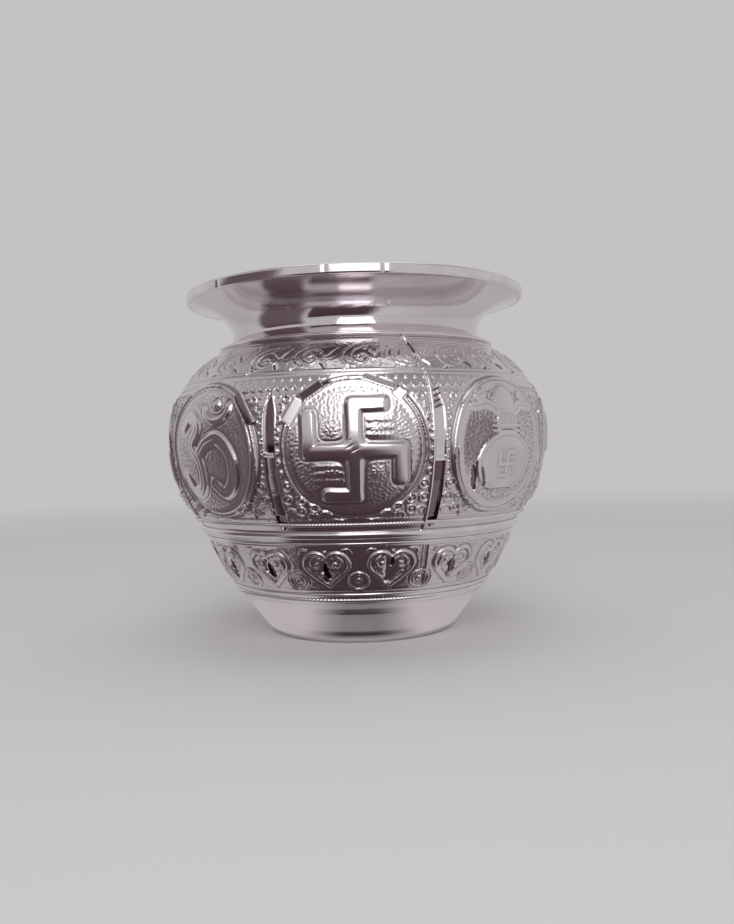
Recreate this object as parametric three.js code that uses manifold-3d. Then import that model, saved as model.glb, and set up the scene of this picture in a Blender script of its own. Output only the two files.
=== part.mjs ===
// A small silver kalash, the round water pot of south Asian households and shrines.
// Millimetres, +Z up. The origin is the middle of the base, on the surface that the pot stands on.
// Angles round the pot start at its front, -Y, and grow towards its right, +X.
//
// The pot is soldered up from thin sheet and drawn wire: a spun foot cup, a chased lower body,
// a chased upper body, a spun mouth with its neck, a binding on the mouth's edge, and the wires
// and the collar that cover the joints between them.

import * as THREE from "three";
import { mergeVertices } from "three/addons/utils/BufferGeometryUtils.js";
import Module from "manifold-3d";

const wasm = await Module();
wasm.setup();

// Driving dimensions of the walls
const sheet = 0.6; // thickness of the silver sheet
const solder = 0.05; // film of solder between two pieces
const sides = 32; // flat sides round the pot

const bellyRadius = 39.1; // plain ground of the belly, at its widest
const bellyHeight = 40.6; // where the belly is widest
const bellyUpperCurve = 19.4; // radius of the shoulder's curve, seen from the side
const bellyLowerCurve = 30; // radius of the belly's curve below its widest

const jointHeight = 22.2; // where the upper body stands on the lower one
const footTop = 8.5; // where the lower body stands on the foot cup
const footTopRadius = 25.6;
const friezeBulge = 0.5; // how far the heart frieze swells beyond a straight cone

const baseRadius = 19; // foot cup at the base, before its corner is rounded
const baseCorner = 1.4; // radius of that corner

const neckRadius = 25.9; // neck at its narrowest
const neckHeight = 61.6;
const neckFillet = 3.4; // curve from the neck out to the shoulder
const neckFoot = 58.85; // lower edge of the neck
const shoulderTop = 58.4; // upper edge of the upper body

const flareReach = 12.8; // half axes of the ellipse that the flare follows
const flareRise = 6.9;
const flareEdge = 34.6; // radius at which the flared sheet ends

const rimRadius = 35.35; // outside of the binding on the mouth's edge
const rimTop = 70.1;
const rimWidth = 1.35;
const rimRound = 0.45; // rounding of the binding's edges

// Driving dimensions of the wires that lie on the walls
const milledWire = { height: 24.2, width: 0.7, thickness: 0.35 };
const bindingWire = { height: 20.6, width: 0.55, thickness: 0.25 };
const lowerFineWire = { height: 10.7, width: 0.5, thickness: 0.25 };
const beadWire = { height: 9.5, width: 0.8, thickness: 0.4 };
const jointBand = { halfWidth: 0.75, thickness: 0.62 };

// Driving dimensions of the chased relief
const root = -0.25; // how deep raised work reaches into the sheet
const medallions = 8;
const medallionRadius = 12.9;
const medallionHeight = 37.6; // height of a medallion's middle
const plateau = 0.35; // how far a medallion stands above the belly's ground
const ringWidth = 0.9; // raised border of a medallion
const ringCrest = 0.6;
const figureCrest = 0.9; // top of the figure in a medallion
const figureReach = 8.9; // from the middle of a figure to the end of an arm
const figureStroke = 2.4; // width of its arms

const spindleWidth = 2; // bright cut between two medallions
const spindleDepth = 0.16;
const spindleBelow = 13.4; // how far it runs below and above the medallions' middle
const spindleAbove = 12;
const leaves = 24; // leaves of the scroll round the shoulder
const leafHeight = 54.3; // height of a leaf's middle
const leafCrest = 0.35;

const hearts = 16;
const heartTip = 12.4; // height of the lower tips
const heartWidth = 8.7;
const heartLength = 7.6;
const heartCrest = 0.35;
const heartCut = 1.5; // leaf-shaped cut in a heart

// Shapes of revolution

// Turns a closed outline in radius and height round the pot's axis.
// The outline goes up its outer side and down its inner side.
function revolve(outline, count = sides) {
  const geometry = new THREE.LatheGeometry([...outline, outline[0]], count);
  geometry.rotateX(Math.PI / 2);
  return closed(geometry);
}

// Leaves only positions, shared between neighbouring faces.
function closed(geometry) {
  geometry.deleteAttribute("normal");
  geometry.deleteAttribute("uv");
  return mergeVertices(geometry);
}

// A point of an outline moved square to it, towards the inside of the pot.
function inward(path, t, distance) {
  const point = path.getPointAt(t);
  const along = path.getTangentAt(t);
  return new THREE.Vector2(point.x - along.y * distance, point.y + along.x * distance);
}

// Places along a path, as parts of its length, with a count of steps for each of its curves.
function stations(path, counts) {
  const ends = path.getCurveLengths();
  const whole = path.getLength();
  const places = [0];
  counts.forEach((count, index) => {
    const start = index === 0 ? 0 : ends[index - 1];
    for (let step = 1; step <= count; step += 1) {
      const reached = start + ((ends[index] - start) * step) / count;
      places.push(Math.min(1, reached / whole));
    }
  });
  return places;
}

// Sheet metal whose outer face follows a path that runs upwards.
function sheetOutline(path, outerCounts, innerCounts) {
  const outer = stations(path, outerCounts).map((t) => path.getPointAt(t));
  const inner = stations(path, innerCounts).map((t) => inward(path, t, sheet));
  return [...outer, ...inner.reverse()];
}

// Where a rising path passes a height, as a part of its length.
function partAt(path, height) {
  let low = 0;
  let high = 1;
  for (let step = 0; step < 30; step += 1) {
    const middle = (low + high) / 2;
    if (path.getPointAt(middle).y < height) low = middle;
    else high = middle;
  }
  return low;
}

// A wire soldered round a wall: flat on the wall, with a rounded face outside.
function wire(wall, { height, width, thickness }, steps = 1) {
  const t = partAt(wall, height);
  const section = [];
  for (let step = 0; step <= steps + 1; step += 1) {
    const turn = (Math.PI * step) / (steps + 1);
    const point = inward(wall, t, -solder - Math.sin(turn) * thickness);
    const along = wall.getTangentAt(t);
    section.push(point.addScaledVector(along, (-Math.cos(turn) * width) / 2));
  }
  return revolve(section);
}

// Outer faces of the three walls, each from its lower edge up

function wallOf(...curves) {
  const wall = new THREE.CurvePath();
  for (const curve of curves) wall.add(curve);
  return wall;
}

function arc(x, y, radius, from, to, clockwise) {
  return new THREE.EllipseCurve(x, y, radius, radius, from, to, clockwise, 0);
}

const upperCentre = bellyRadius - bellyUpperCurve;
const lowerCentre = bellyRadius - bellyLowerCurve;
const jointAngle = Math.asin((jointHeight + solder - bellyHeight) / bellyLowerCurve);
const shoulderAngle = Math.asin((shoulderTop - bellyHeight) / bellyUpperCurve);
const upperWall = wallOf(
  arc(lowerCentre, bellyHeight, bellyLowerCurve, jointAngle, 0, false),
  arc(upperCentre, bellyHeight, bellyUpperCurve, 0, shoulderAngle, false),
);
const jointRadius = lowerCentre + bellyLowerCurve * Math.cos(jointAngle);

const lowerWall = wallOf(new THREE.QuadraticBezierCurve(
  new THREE.Vector2(footTopRadius + solder, footTop + solder),
  new THREE.Vector2(
    (footTopRadius + jointRadius) / 2 + 2 * friezeBulge,
    (footTop + jointHeight) / 2 - friezeBulge,
  ),
  new THREE.Vector2(jointRadius, jointHeight),
));

const neckAngle = Math.PI + Math.asin((neckHeight - neckFoot) / neckFillet);
const flareAngle = Math.acos((neckRadius + flareReach - flareEdge) / flareReach);
const mouthWall = wallOf(
  arc(neckRadius + neckFillet, neckHeight, neckFillet, neckAngle, Math.PI, true),
  new THREE.EllipseCurve(
    neckRadius + flareReach, neckHeight, flareReach, flareRise,
    Math.PI, Math.PI - flareAngle, true, 0,
  ),
);

// Flat shapes for the relief: x runs round the pot, y up its wall

// A line of even width along a curve, cut square at its ends.
function stroke(curve, width, steps) {
  const left = [];
  const right = [];
  for (let step = 0; step <= steps; step += 1) {
    const point = curve.getPointAt(step / steps);
    const along = curve.getTangentAt(step / steps);
    const across = new THREE.Vector2(-along.y, along.x).multiplyScalar(width / 2);
    left.push(point.clone().add(across));
    right.unshift(point.clone().sub(across));
  }
  return new THREE.Shape([...left, ...right]);
}

function ring(radius, width, steps) {
  const shape = disc(0, 0, radius, steps);
  shape.holes.push(disc(0, 0, radius - width, steps));
  return shape;
}

function ovalPoints(x, y, across, up, steps) {
  const points = [];
  for (let step = 0; step < steps; step += 1) {
    const turn = (2 * Math.PI * (step + 0.5)) / steps;
    points.push(new THREE.Vector2(x + across * Math.cos(turn), y + up * Math.sin(turn)));
  }
  return points;
}

function disc(x, y, radius, steps) {
  return new THREE.Shape(ovalPoints(x, y, radius, radius, steps));
}

// A leaf or spindle between two tips, widest half way.
function lens(x, bottom, top, width, steps) {
  const points = [];
  for (let step = 0; step < 2 * steps; step += 1) {
    const turn = (Math.PI * step) / steps;
    const y = (bottom + top) / 2 - (Math.cos(turn) * (top - bottom)) / 2;
    points.push(new THREE.Vector2(x + (Math.sin(turn) * width) / 2, y));
  }
  return new THREE.Shape(points);
}

// The swastika of south Asian households: four equal arms, each bent to the right.
function swastika(reach, width) {
  const half = width / 2;
  const tip = reach * 0.66;
  const arm = [
    [-half, half],
    [-half, reach],
    [tip, reach],
    [tip, reach - width],
    [half, reach - width],
    [half, half],
  ];
  const points = [];
  for (let quarter = 0; quarter < 4; quarter += 1) {
    for (const [x, y] of arm.slice(0, -1)) {
      const turn = (-Math.PI / 2) * quarter;
      points.push(new THREE.Vector2(x, y).rotateAround(new THREE.Vector2(), turn));
    }
  }
  return [new THREE.Shape(points)];
}

// The Om sign, drawn with four strokes: the double bowl, the tail, the crescent and the dot.
function om(width) {
  const bowls = new THREE.SplineCurve([
    new THREE.Vector2(-7.4, 5),
    new THREE.Vector2(-4.6, 6.6),
    new THREE.Vector2(-1.9, 4.4),
    new THREE.Vector2(-4.2, 1.3),
    new THREE.Vector2(-1.7, -1.8),
    new THREE.Vector2(-2.2, -6.2),
    new THREE.Vector2(-5.3, -7.5),
    new THREE.Vector2(-8, -5),
  ]);
  const tail = new THREE.SplineCurve([
    new THREE.Vector2(-1.4, 0.2),
    new THREE.Vector2(0.8, 1.8),
    new THREE.Vector2(4.2, 2.3),
    new THREE.Vector2(7, -0.9),
    new THREE.Vector2(6.6, -5),
    new THREE.Vector2(3.9, -7.5),
    new THREE.Vector2(1.5, -5.9),
  ]);
  const crescent = new THREE.EllipseCurve(3.3, 8.1, 3.3, 2.6, Math.PI, 2 * Math.PI, false, 0);
  return [
    stroke(bowls, width, 9),
    stroke(tail, width, 6),
    stroke(crescent, width * 0.6, 3),
    disc(3.4, 8.5, 0.95, 6),
  ];
}

// A full kalash as a figure: pot, neck, two leaves and the coconut on top.
function potFigure() {
  const pot = new THREE.Shape(ovalPoints(0, -3.1, 7.4, 5.5, 11));
  const neck = new THREE.Shape([
    new THREE.Vector2(-3.6, 1.8),
    new THREE.Vector2(3.6, 1.8),
    new THREE.Vector2(3, 6.2),
    new THREE.Vector2(-3, 6.2),
  ]);
  const leaf = (side) => stroke(new THREE.QuadraticBezierCurve(
    new THREE.Vector2(side * 2.6, 5.3),
    new THREE.Vector2(side * 6.6, 4.9),
    new THREE.Vector2(side * 8, 7.4),
  ), 1.6, 3);
  return [pot, neck, leaf(-1), leaf(1), disc(0, 8.1, 2.9, 7)];
}

// A heart, point down, with its tip at the origin.
function heartPath(width, length) {
  const half = width / 2;
  const path = new THREE.Path();
  path.moveTo(0, 0);
  path.bezierCurveTo(half * 0.5, length * 0.3, half * 1.15, length * 0.5, half, length * 0.75);
  path.bezierCurveTo(half * 0.9, length * 1.05, half * 0.2, length * 1.1, 0, length * 0.8);
  path.bezierCurveTo(-half * 0.2, length * 1.1, -half * 0.9, length * 1.05, -half, length * 0.75);
  path.bezierCurveTo(-half * 1.15, length * 0.5, -half * 0.5, length * 0.3, 0, 0);
  return path;
}

function heart() {
  return new THREE.Shape(heartPath(heartWidth, heartLength).getPoints(2).slice(0, -1));
}

// A leaf of the shoulder's scroll: it curls under on the left and its tip runs out to the right.
function scrollLeaf() {
  const outline = [[3.7, 3.5], [-0.4, 3.3], [-2.8, 0.9], [-2.2, -2.7], [0.7, -2.9], [-0.5, -0.2]];
  return new THREE.Shape(outline.map(([x, y]) => new THREE.Vector2(x, y)));
}

// Relief on a wall

const reach = 60; // longer than any radius, so that a prism passes through its wall

// A straight prism with a flat shape's outline, pointing out of a wall at one angle and height.
// Its outline is drawn narrower where the wall turns away, so that it has its true size there.
function prism(shape, wall, angle, height) {
  const length = wall.getLength();
  const start = partAt(wall, height) * length;
  const seen = ({ x, y }) => {
    const point = wall.getPointAt((start + y) / length);
    return new THREE.Vector2(point.x * Math.sin(x / point.x), point.y);
  };
  const outline = new THREE.Shape(shape.getPoints().map(seen));
  outline.holes = shape.holes.map((hole) => new THREE.Path(hole.getPoints().map(seen)));
  const straight = new THREE.ExtrudeGeometry(outline, { depth: reach, bevelEnabled: false });
  straight.rotateX(Math.PI / 2);
  straight.rotateZ(angle);
  return solid(closed(straight));
}

// The layer of a wall between two distances from its ground.
function layer(wall, counts, low, high) {
  const places = stations(wall, counts);
  const outer = places.map((t) => inward(wall, t, -high));
  const inner = places.map((t) => inward(wall, t, -low));
  return solid(revolve([...outer, ...inner.reverse()]));
}

// Joins prisms and keeps what lies between two distances from a wall's ground.
function trim(prisms, wall, counts, low, high) {
  const joined = prisms.reduce((all, next) => all.add(next));
  return joined.intersect(layer(wall, counts, low, high));
}

function solid(geometry) {
  return new wasm.Manifold(new wasm.Mesh({
    numProp: 3,
    vertProperties: geometry.attributes.position.array,
    triVerts: new Uint32Array(geometry.index.array),
  }));
}

function surface(body) {
  const mesh = body.getMesh();
  const geometry = new THREE.BufferGeometry();
  geometry.setAttribute("position", new THREE.BufferAttribute(mesh.vertProperties, 3));
  geometry.setIndex(new THREE.BufferAttribute(mesh.triVerts, 1));
  return geometry;
}

const upperRows = [3, 4]; // steps of the wall's two curves
const lowerRows = [2];

// Angles of things spaced evenly round the pot, moved on by part of a space.
function around(count, shift = 0) {
  return Array.from({ length: count }, (_, number) => (2 * Math.PI * (number + shift)) / count);
}

// Eight round medallions, each with its border and a figure.
function chaseMedallions(body) {
  const figures = [
    swastika(figureReach, figureStroke),
    potFigure(),
    swastika(figureReach, figureStroke),
    om(figureStroke),
  ];
  const onMedallions = (draw, low, high) => {
    const prisms = around(medallions).flatMap((angle, number) =>
      draw(number).map((shape) => prism(shape, upperWall, angle, medallionHeight)));
    return trim(prisms, upperWall, upperRows, low, high);
  };
  const ground = () => [disc(0, 0, medallionRadius - ringWidth / 2, 16)];
  const border = () => [ring(medallionRadius, ringWidth, 16)];
  return body
    .add(onMedallions(ground, root, plateau))
    .add(onMedallions(border, root, ringCrest))
    .add(onMedallions((number) => figures[number % figures.length], root, figureCrest));
}

// Bright cuts that part the medallions from each other.
function cutSpindles(body) {
  const spindle = lens(0, -spindleBelow, spindleAbove, spindleWidth, 3);
  const prisms = around(medallions, 0.5).map((angle) =>
    prism(spindle, upperWall, angle, medallionHeight));
  return body.subtract(trim(prisms, upperWall, upperRows, -spindleDepth, 1));
}

// The scroll of leaves that runs round the shoulder.
function chaseLeaves(body) {
  const prisms = around(leaves).map((angle) => prism(scrollLeaf(), upperWall, angle, leafHeight));
  return body.add(trim(prisms, upperWall, upperRows, root, leafCrest));
}

// Hearts, each with a bright cut down its middle.
function chaseHearts(body) {
  const angles = around(hearts, 0.5);
  const raised = angles.map((angle) => prism(heart(), lowerWall, angle, heartTip));
  const cut = lens(0, heartLength * 0.14, heartLength * 0.72, heartCut, 2);
  const cuts = angles.map((angle) => prism(cut, lowerWall, angle, heartTip));
  return body
    .add(trim(raised, lowerWall, lowerRows, root, heartCrest))
    .subtract(trim(cuts, lowerWall, lowerRows, -spindleDepth, 1));
}

// Pieces

// Spun cup: flat floor, rounded corner and the plain cone that the pot stands on.
function footCup() {
  const slope = Math.atan2(footTop, footTopRadius - baseRadius);
  const flat = baseRadius - baseCorner * Math.tan(slope / 2);
  const outside = new THREE.Path();
  outside.moveTo(0, 0);
  outside.lineTo(flat, 0);
  outside.absarc(flat, baseCorner, baseCorner, -Math.PI / 2, slope - Math.PI / 2, false);
  outside.lineTo(footTopRadius, footTop);
  const lift = sheet / Math.sin(slope);
  return revolve([
    ...outside.getPoints(1),
    new THREE.Vector2(footTopRadius - lift, footTop),
    new THREE.Vector2(flat - sheet * Math.tan(slope / 2), sheet),
    new THREE.Vector2(0, sheet),
  ]);
}

function lowerBody() {
  const plain = solid(revolve(sheetOutline(lowerWall, lowerRows, lowerRows)));
  return surface(chaseHearts(plain));
}

function upperBody() {
  const plain = solid(revolve(sheetOutline(upperWall, upperRows, upperRows)));
  return surface(chaseLeaves(cutSpindles(chaseMedallions(plain))));
}

function mouth() {
  return revolve(sheetOutline(mouthWall, neckRows, [1, 4]));
}

const neckRows = [3, 5]; // steps of the neck's fillet and of the flare

// Collar of two steps that hides the joint between the neck and the shoulder.
function neckCollar() {
  const [foot, above] = stations(mouthWall, neckRows).map((t) => inward(mouthWall, t, -solder));
  const onShoulder = inward(upperWall, partAt(upperWall, shoulderTop - 0.35), -solder);
  return revolve([
    onShoulder,
    new THREE.Vector2(28.75, 58.35),
    new THREE.Vector2(28.9, 58.7),
    new THREE.Vector2(28.6, 59.05),
    new THREE.Vector2(28.05, 59.1),
    new THREE.Vector2(27.5, above.y),
    above,
    foot,
  ]);
}

// Half-round band in the corner where the two bodies meet.
function bodyBand() {
  const { halfWidth, thickness } = jointBand;
  const low = inward(lowerWall, 1 - halfWidth / lowerWall.getLength(), -solder);
  const high = inward(upperWall, halfWidth / upperWall.getLength(), -solder);
  const corner = new THREE.Vector2(jointRadius + 2 * solder, jointHeight);
  const along = high.clone().sub(low).normalize();
  const out = new THREE.Vector2(along.y, -along.x).multiplyScalar(thickness);
  return revolve([
    low,
    low.clone().lerp(high, 0.15).addScaledVector(out, 0.75),
    low.clone().lerp(high, 0.5).add(out),
    low.clone().lerp(high, 0.85).addScaledVector(out, 0.75),
    high,
    corner,
  ]);
}

// Binding that laps over the flared sheet's edge, round outside and filed flat on top.
function rimBinding() {
  const edge = flareEdge + solder;
  const inside = rimRadius - rimWidth;
  const under = mouthWall.getPointAt(1).y;
  const ledge = inward(mouthWall, 1, sheet).y + solder;
  const outline = new THREE.Path();
  outline.moveTo(edge, under);
  outline.lineTo(rimRadius - rimRound, under);
  outline.lineTo(rimRadius, under + rimRound);
  outline.absarc(rimRadius - rimRound, rimTop - rimRound, rimRound, 0, Math.PI / 2, false);
  outline.absarc(inside + rimRound, rimTop - rimRound, rimRound, Math.PI / 2, Math.PI, false);
  outline.lineTo(inside, ledge);
  outline.lineTo(edge, ledge);
  return revolve(outline.getPoints(1));
}

// The assembly

const polished = { color: 0xcfc7cc, roughness: 0.16, metalness: 1 };
const chased = { color: 0xc4bcc1, roughness: 0.28, metalness: 1 };
const drawn = { color: 0xd2cad0, roughness: 0.2, metalness: 1 };

const kalash = new THREE.Group();

function add(name, geometry, finish) {
  const mesh = new THREE.Mesh(geometry, new THREE.MeshStandardMaterial(finish));
  mesh.name = name;
  kalash.add(mesh);
}

add("foot_cup", footCup(), polished);
add("lower_body", lowerBody(), chased);
add("upper_body", upperBody(), chased);
add("mouth_flare", mouth(), polished);
add("rim_binding", rimBinding(), polished);
add("neck_collar", neckCollar(), drawn);
add("joint_band", bodyBand(), drawn);
add("milled_wire", wire(upperWall, milledWire), drawn);
add("binding_wire", wire(lowerWall, bindingWire), drawn);
add("lower_fine_wire", wire(lowerWall, lowerFineWire), drawn);
add("bead_wire", wire(lowerWall, beadWire), drawn);

export default kalash;
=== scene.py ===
import math

import bpy
import numpy as np
from mathutils import Matrix, Vector


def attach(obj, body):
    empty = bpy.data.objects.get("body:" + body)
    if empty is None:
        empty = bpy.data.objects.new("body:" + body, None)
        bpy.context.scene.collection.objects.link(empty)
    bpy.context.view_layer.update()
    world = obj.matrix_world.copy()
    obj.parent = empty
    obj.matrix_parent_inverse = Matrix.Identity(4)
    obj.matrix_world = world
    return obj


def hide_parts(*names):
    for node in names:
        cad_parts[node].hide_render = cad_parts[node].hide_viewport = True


# A small chased silver kalash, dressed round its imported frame.
# Shapes are worked out in millimetres and written to the meshes in metres.
# Angles round the pot start at its front, -Y, and grow towards its right, +X.

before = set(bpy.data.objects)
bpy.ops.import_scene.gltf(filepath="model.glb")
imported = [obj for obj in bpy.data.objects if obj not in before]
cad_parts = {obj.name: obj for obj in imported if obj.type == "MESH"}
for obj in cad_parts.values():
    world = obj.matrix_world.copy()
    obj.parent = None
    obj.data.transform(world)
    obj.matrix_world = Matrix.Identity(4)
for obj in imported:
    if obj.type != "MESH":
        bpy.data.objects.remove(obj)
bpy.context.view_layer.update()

MM = 0.001
TAU = 2 * math.pi
DEG = math.pi / 180

# Driving dimensions of the walls, the same as in the frame
SHEET = 0.6
SOLDER = 0.05
BELLY_RADIUS = 39.1
BELLY_HEIGHT = 40.6
BELLY_UPPER_CURVE = 19.4
BELLY_LOWER_CURVE = 30.0
JOINT_HEIGHT = 22.2
FOOT_TOP = 8.5
FOOT_TOP_RADIUS = 25.6
FRIEZE_BULGE = 0.5
BASE_RADIUS = 19.0
BASE_CORNER = 1.4
NECK_RADIUS = 25.9
NECK_HEIGHT = 61.6
NECK_FILLET = 3.4
NECK_FOOT = 58.85
SHOULDER_TOP = 58.4
FLARE_REACH = 12.8
FLARE_RISE = 6.9
FLARE_EDGE = 34.6
RIM_RADIUS = 35.35
RIM_TOP = 70.1
RIM_WIDTH = 1.35
RIM_ROUND = 0.45

# Chased relief of the belly
MEDALLIONS = 8
MEDALLION_RADIUS = 12.9
MEDALLION_HEIGHT = 37.6
PLATEAU = 0.35
FIGURE_CREST = 0.88
FIGURE_REACH = 9.2
FIGURE_STROKE = 2.6
SPINDLE_WIDTH = 2.0
CURLS = 24
HEARTS = 16
HEART_TIP = 12.4
HEART_WIDTH = 8.7
HEART_LENGTH = 7.6
LEAF_HEIGHT = 54.3

SPACING = 0.15
INNER_SPACING = 0.8


# Walls seen from the side


def ellipse(x, y, across, up, start, end, steps=60):
    turns = np.linspace(start, end, steps + 1)
    return np.column_stack([x + across * np.cos(turns), y + up * np.sin(turns)])


def arc(x, y, radius, start, end, steps=60):
    return ellipse(x, y, radius, radius, start, end, steps)


def bezier(start, middle, end, steps=60):
    t = np.linspace(0, 1, steps + 1)[:, None]
    start, middle, end = map(np.array, (start, middle, end))
    return (1 - t) ** 2 * start + 2 * t * (1 - t) * middle + t**2 * end


class Wall:
    """The outer face of a wall, upwards: radius, height and the way out at each part of its length."""

    def __init__(self, *stretches):
        points = np.vstack(stretches)
        apart = np.hypot(*np.diff(points, axis=0).T) > 1e-6
        points = points[np.concatenate([[True], apart])]
        self.places = np.concatenate([[0], np.cumsum(np.hypot(*np.diff(points, axis=0).T))])
        self.radii, self.heights = points.T
        along = np.gradient(points, self.places, axis=0)
        along /= np.hypot(*along.T)[:, None]
        self.out = np.column_stack([along[:, 1], -along[:, 0]])
        self.length = self.places[-1]

    def radius(self, place):
        return np.interp(place, self.places, self.radii)

    def place(self, height):
        return np.interp(height, self.heights, self.places)

    def offset(self, place, distance):
        """Radius and height of a point that stands off the wall."""
        out_radius = np.interp(place, self.places, self.out[:, 0])
        out_height = np.interp(place, self.places, self.out[:, 1])
        height = np.interp(place, self.places, self.heights)
        return self.radius(place) + distance * out_radius, height + distance * out_height


def upper_wall():
    low = BELLY_RADIUS - BELLY_LOWER_CURVE
    high = BELLY_RADIUS - BELLY_UPPER_CURVE
    joint = math.asin((JOINT_HEIGHT + SOLDER - BELLY_HEIGHT) / BELLY_LOWER_CURVE)
    shoulder = math.asin((SHOULDER_TOP - BELLY_HEIGHT) / BELLY_UPPER_CURVE)
    return Wall(
        arc(low, BELLY_HEIGHT, BELLY_LOWER_CURVE, joint, 0),
        arc(high, BELLY_HEIGHT, BELLY_UPPER_CURVE, 0, shoulder),
    )


UPPER = upper_wall()
JOINT_RADIUS = UPPER.radii[0]


def lower_wall():
    middle = (FOOT_TOP_RADIUS + JOINT_RADIUS) / 2 + 2 * FRIEZE_BULGE
    height = (FOOT_TOP + JOINT_HEIGHT) / 2 - FRIEZE_BULGE
    start = (FOOT_TOP_RADIUS + SOLDER, FOOT_TOP + SOLDER)
    return Wall(bezier(start, (middle, height), (JOINT_RADIUS, JOINT_HEIGHT)))


def mouth_wall():
    foot = math.pi + math.asin((NECK_HEIGHT - NECK_FOOT) / NECK_FILLET)
    edge = math.pi - math.acos((NECK_RADIUS + FLARE_REACH - FLARE_EDGE) / FLARE_REACH)
    fillet = NECK_RADIUS + NECK_FILLET
    return Wall(
        arc(fillet, NECK_HEIGHT, NECK_FILLET, foot, math.pi, 30),
        ellipse(NECK_RADIUS + FLARE_REACH, NECK_HEIGHT, FLARE_REACH, FLARE_RISE, math.pi, edge),
    )


LOWER = lower_wall()
MOUTH = mouth_wall()
MEDALLION_PLACE = float(UPPER.place(MEDALLION_HEIGHT))


# Lines and profiles of the relief


def smooth(low, high, value):
    t = np.clip((value - low) / (high - low), 0, 1)
    return t * t * (3 - 2 * t)


def crown(distance, half):
    """One on a line's middle, round topped, and nothing beyond its half width."""
    return np.sqrt(np.clip(1 - (distance / half) ** 2, 0, 1))


def wrapped(angle):
    """The same angle between minus and plus half a turn."""
    return (angle + math.pi) % TAU - math.pi


def chain_distance(x, y, points):
    best = np.full(x.shape, 1e6)
    for (ax, ay), (bx, by) in zip(points, points[1:]):
        dx, dy = bx - ax, by - ay
        t = np.clip(((x - ax) * dx + (y - ay) * dy) / (dx * dx + dy * dy), 0, 1)
        best = np.minimum(best, np.hypot(x - ax - t * dx, y - ay - t * dy))
    return best


def spline(points, steps=6):
    """A smooth curve through a few points."""
    points = [np.array(p, float) for p in points]
    padded = [2 * points[0] - points[1], *points, 2 * points[-1] - points[-2]]
    curve = []
    for a, b, c, d in zip(padded, padded[1:], padded[2:], padded[3:]):
        for t in np.arange(steps) / steps:
            curve.append(
                0.5 * (2 * b + (c - a) * t + (2 * a - 5 * b + 4 * c - d) * t**2
                       + (3 * b - a - 3 * c + d) * t**3)
            )
    return [*curve, points[-1]]


def lattice_noise(x, y, pitch, seed):
    """Soft bumps between -1 and 1, a pitch apart."""
    table = np.random.default_rng(seed).uniform(-1, 1, (64, 64))
    gx, gy = x / pitch, y / pitch
    cx, cy = np.floor(gx).astype(int), np.floor(gy).astype(int)
    tx, ty = smooth(0, 1, gx - cx), smooth(0, 1, gy - cy)
    corner = [[table[(cx + i) % 64, (cy + j) % 64] for j in (0, 1)] for i in (0, 1)]
    low = corner[0][0] * (1 - tx) + corner[1][0] * tx
    high = corner[0][1] * (1 - tx) + corner[1][1] * tx
    return low * (1 - ty) + high * ty


def punch_marks(x, y, pitch, seed):
    """Close round punch marks: one at a mark's middle, nothing between the marks."""
    random = np.random.default_rng(seed)
    shift_x, shift_y = random.uniform(0, 1, (2, 64, 64))
    gx, gy = x / pitch, y / pitch
    cx, cy = np.floor(gx).astype(int), np.floor(gy).astype(int)
    nearest = np.full(x.shape, 9.0)
    for i in (-1, 0, 1):
        for j in (-1, 0, 1):
            at = ((cx + i) % 64, (cy + j) % 64)
            nearest = np.minimum(
                nearest, np.hypot(cx + i + shift_x[at] - gx, cy + j + shift_y[at] - gy)
            )
    return crown(nearest, 0.48)


class Relief:
    """Chased work on a wall: how far each place stands above or below its plain ground."""

    def __init__(self, wall, angles, places):
        self.angles = angles
        self.places = places
        self.radii = wall.radius(places)
        self.height = np.zeros(angles.shape)
        self.cut = np.zeros(angles.shape)
        self.hatch = np.zeros(angles.shape)
        # dark: painted dark reflection in cuts and facets, painted shade on part of the pot figure's
        # ground, and the dark of the frieze's seam strip
        self.dark = np.zeros(angles.shape)
        self.grain = np.zeros(angles.shape)

    def spot(self, angle, place, reach, turn=0.0, mirrored=False):
        return Spot(self, angle, place, reach, turn, mirrored)

    def spots(self, count, shift, place, reach):
        """The numbered patches at even steps round the pot that lie on this part of it."""
        for number in range(count):
            spot = self.spot((number + shift) * TAU / count, place, reach)
            if not spot.empty:
                yield number, spot


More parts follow.
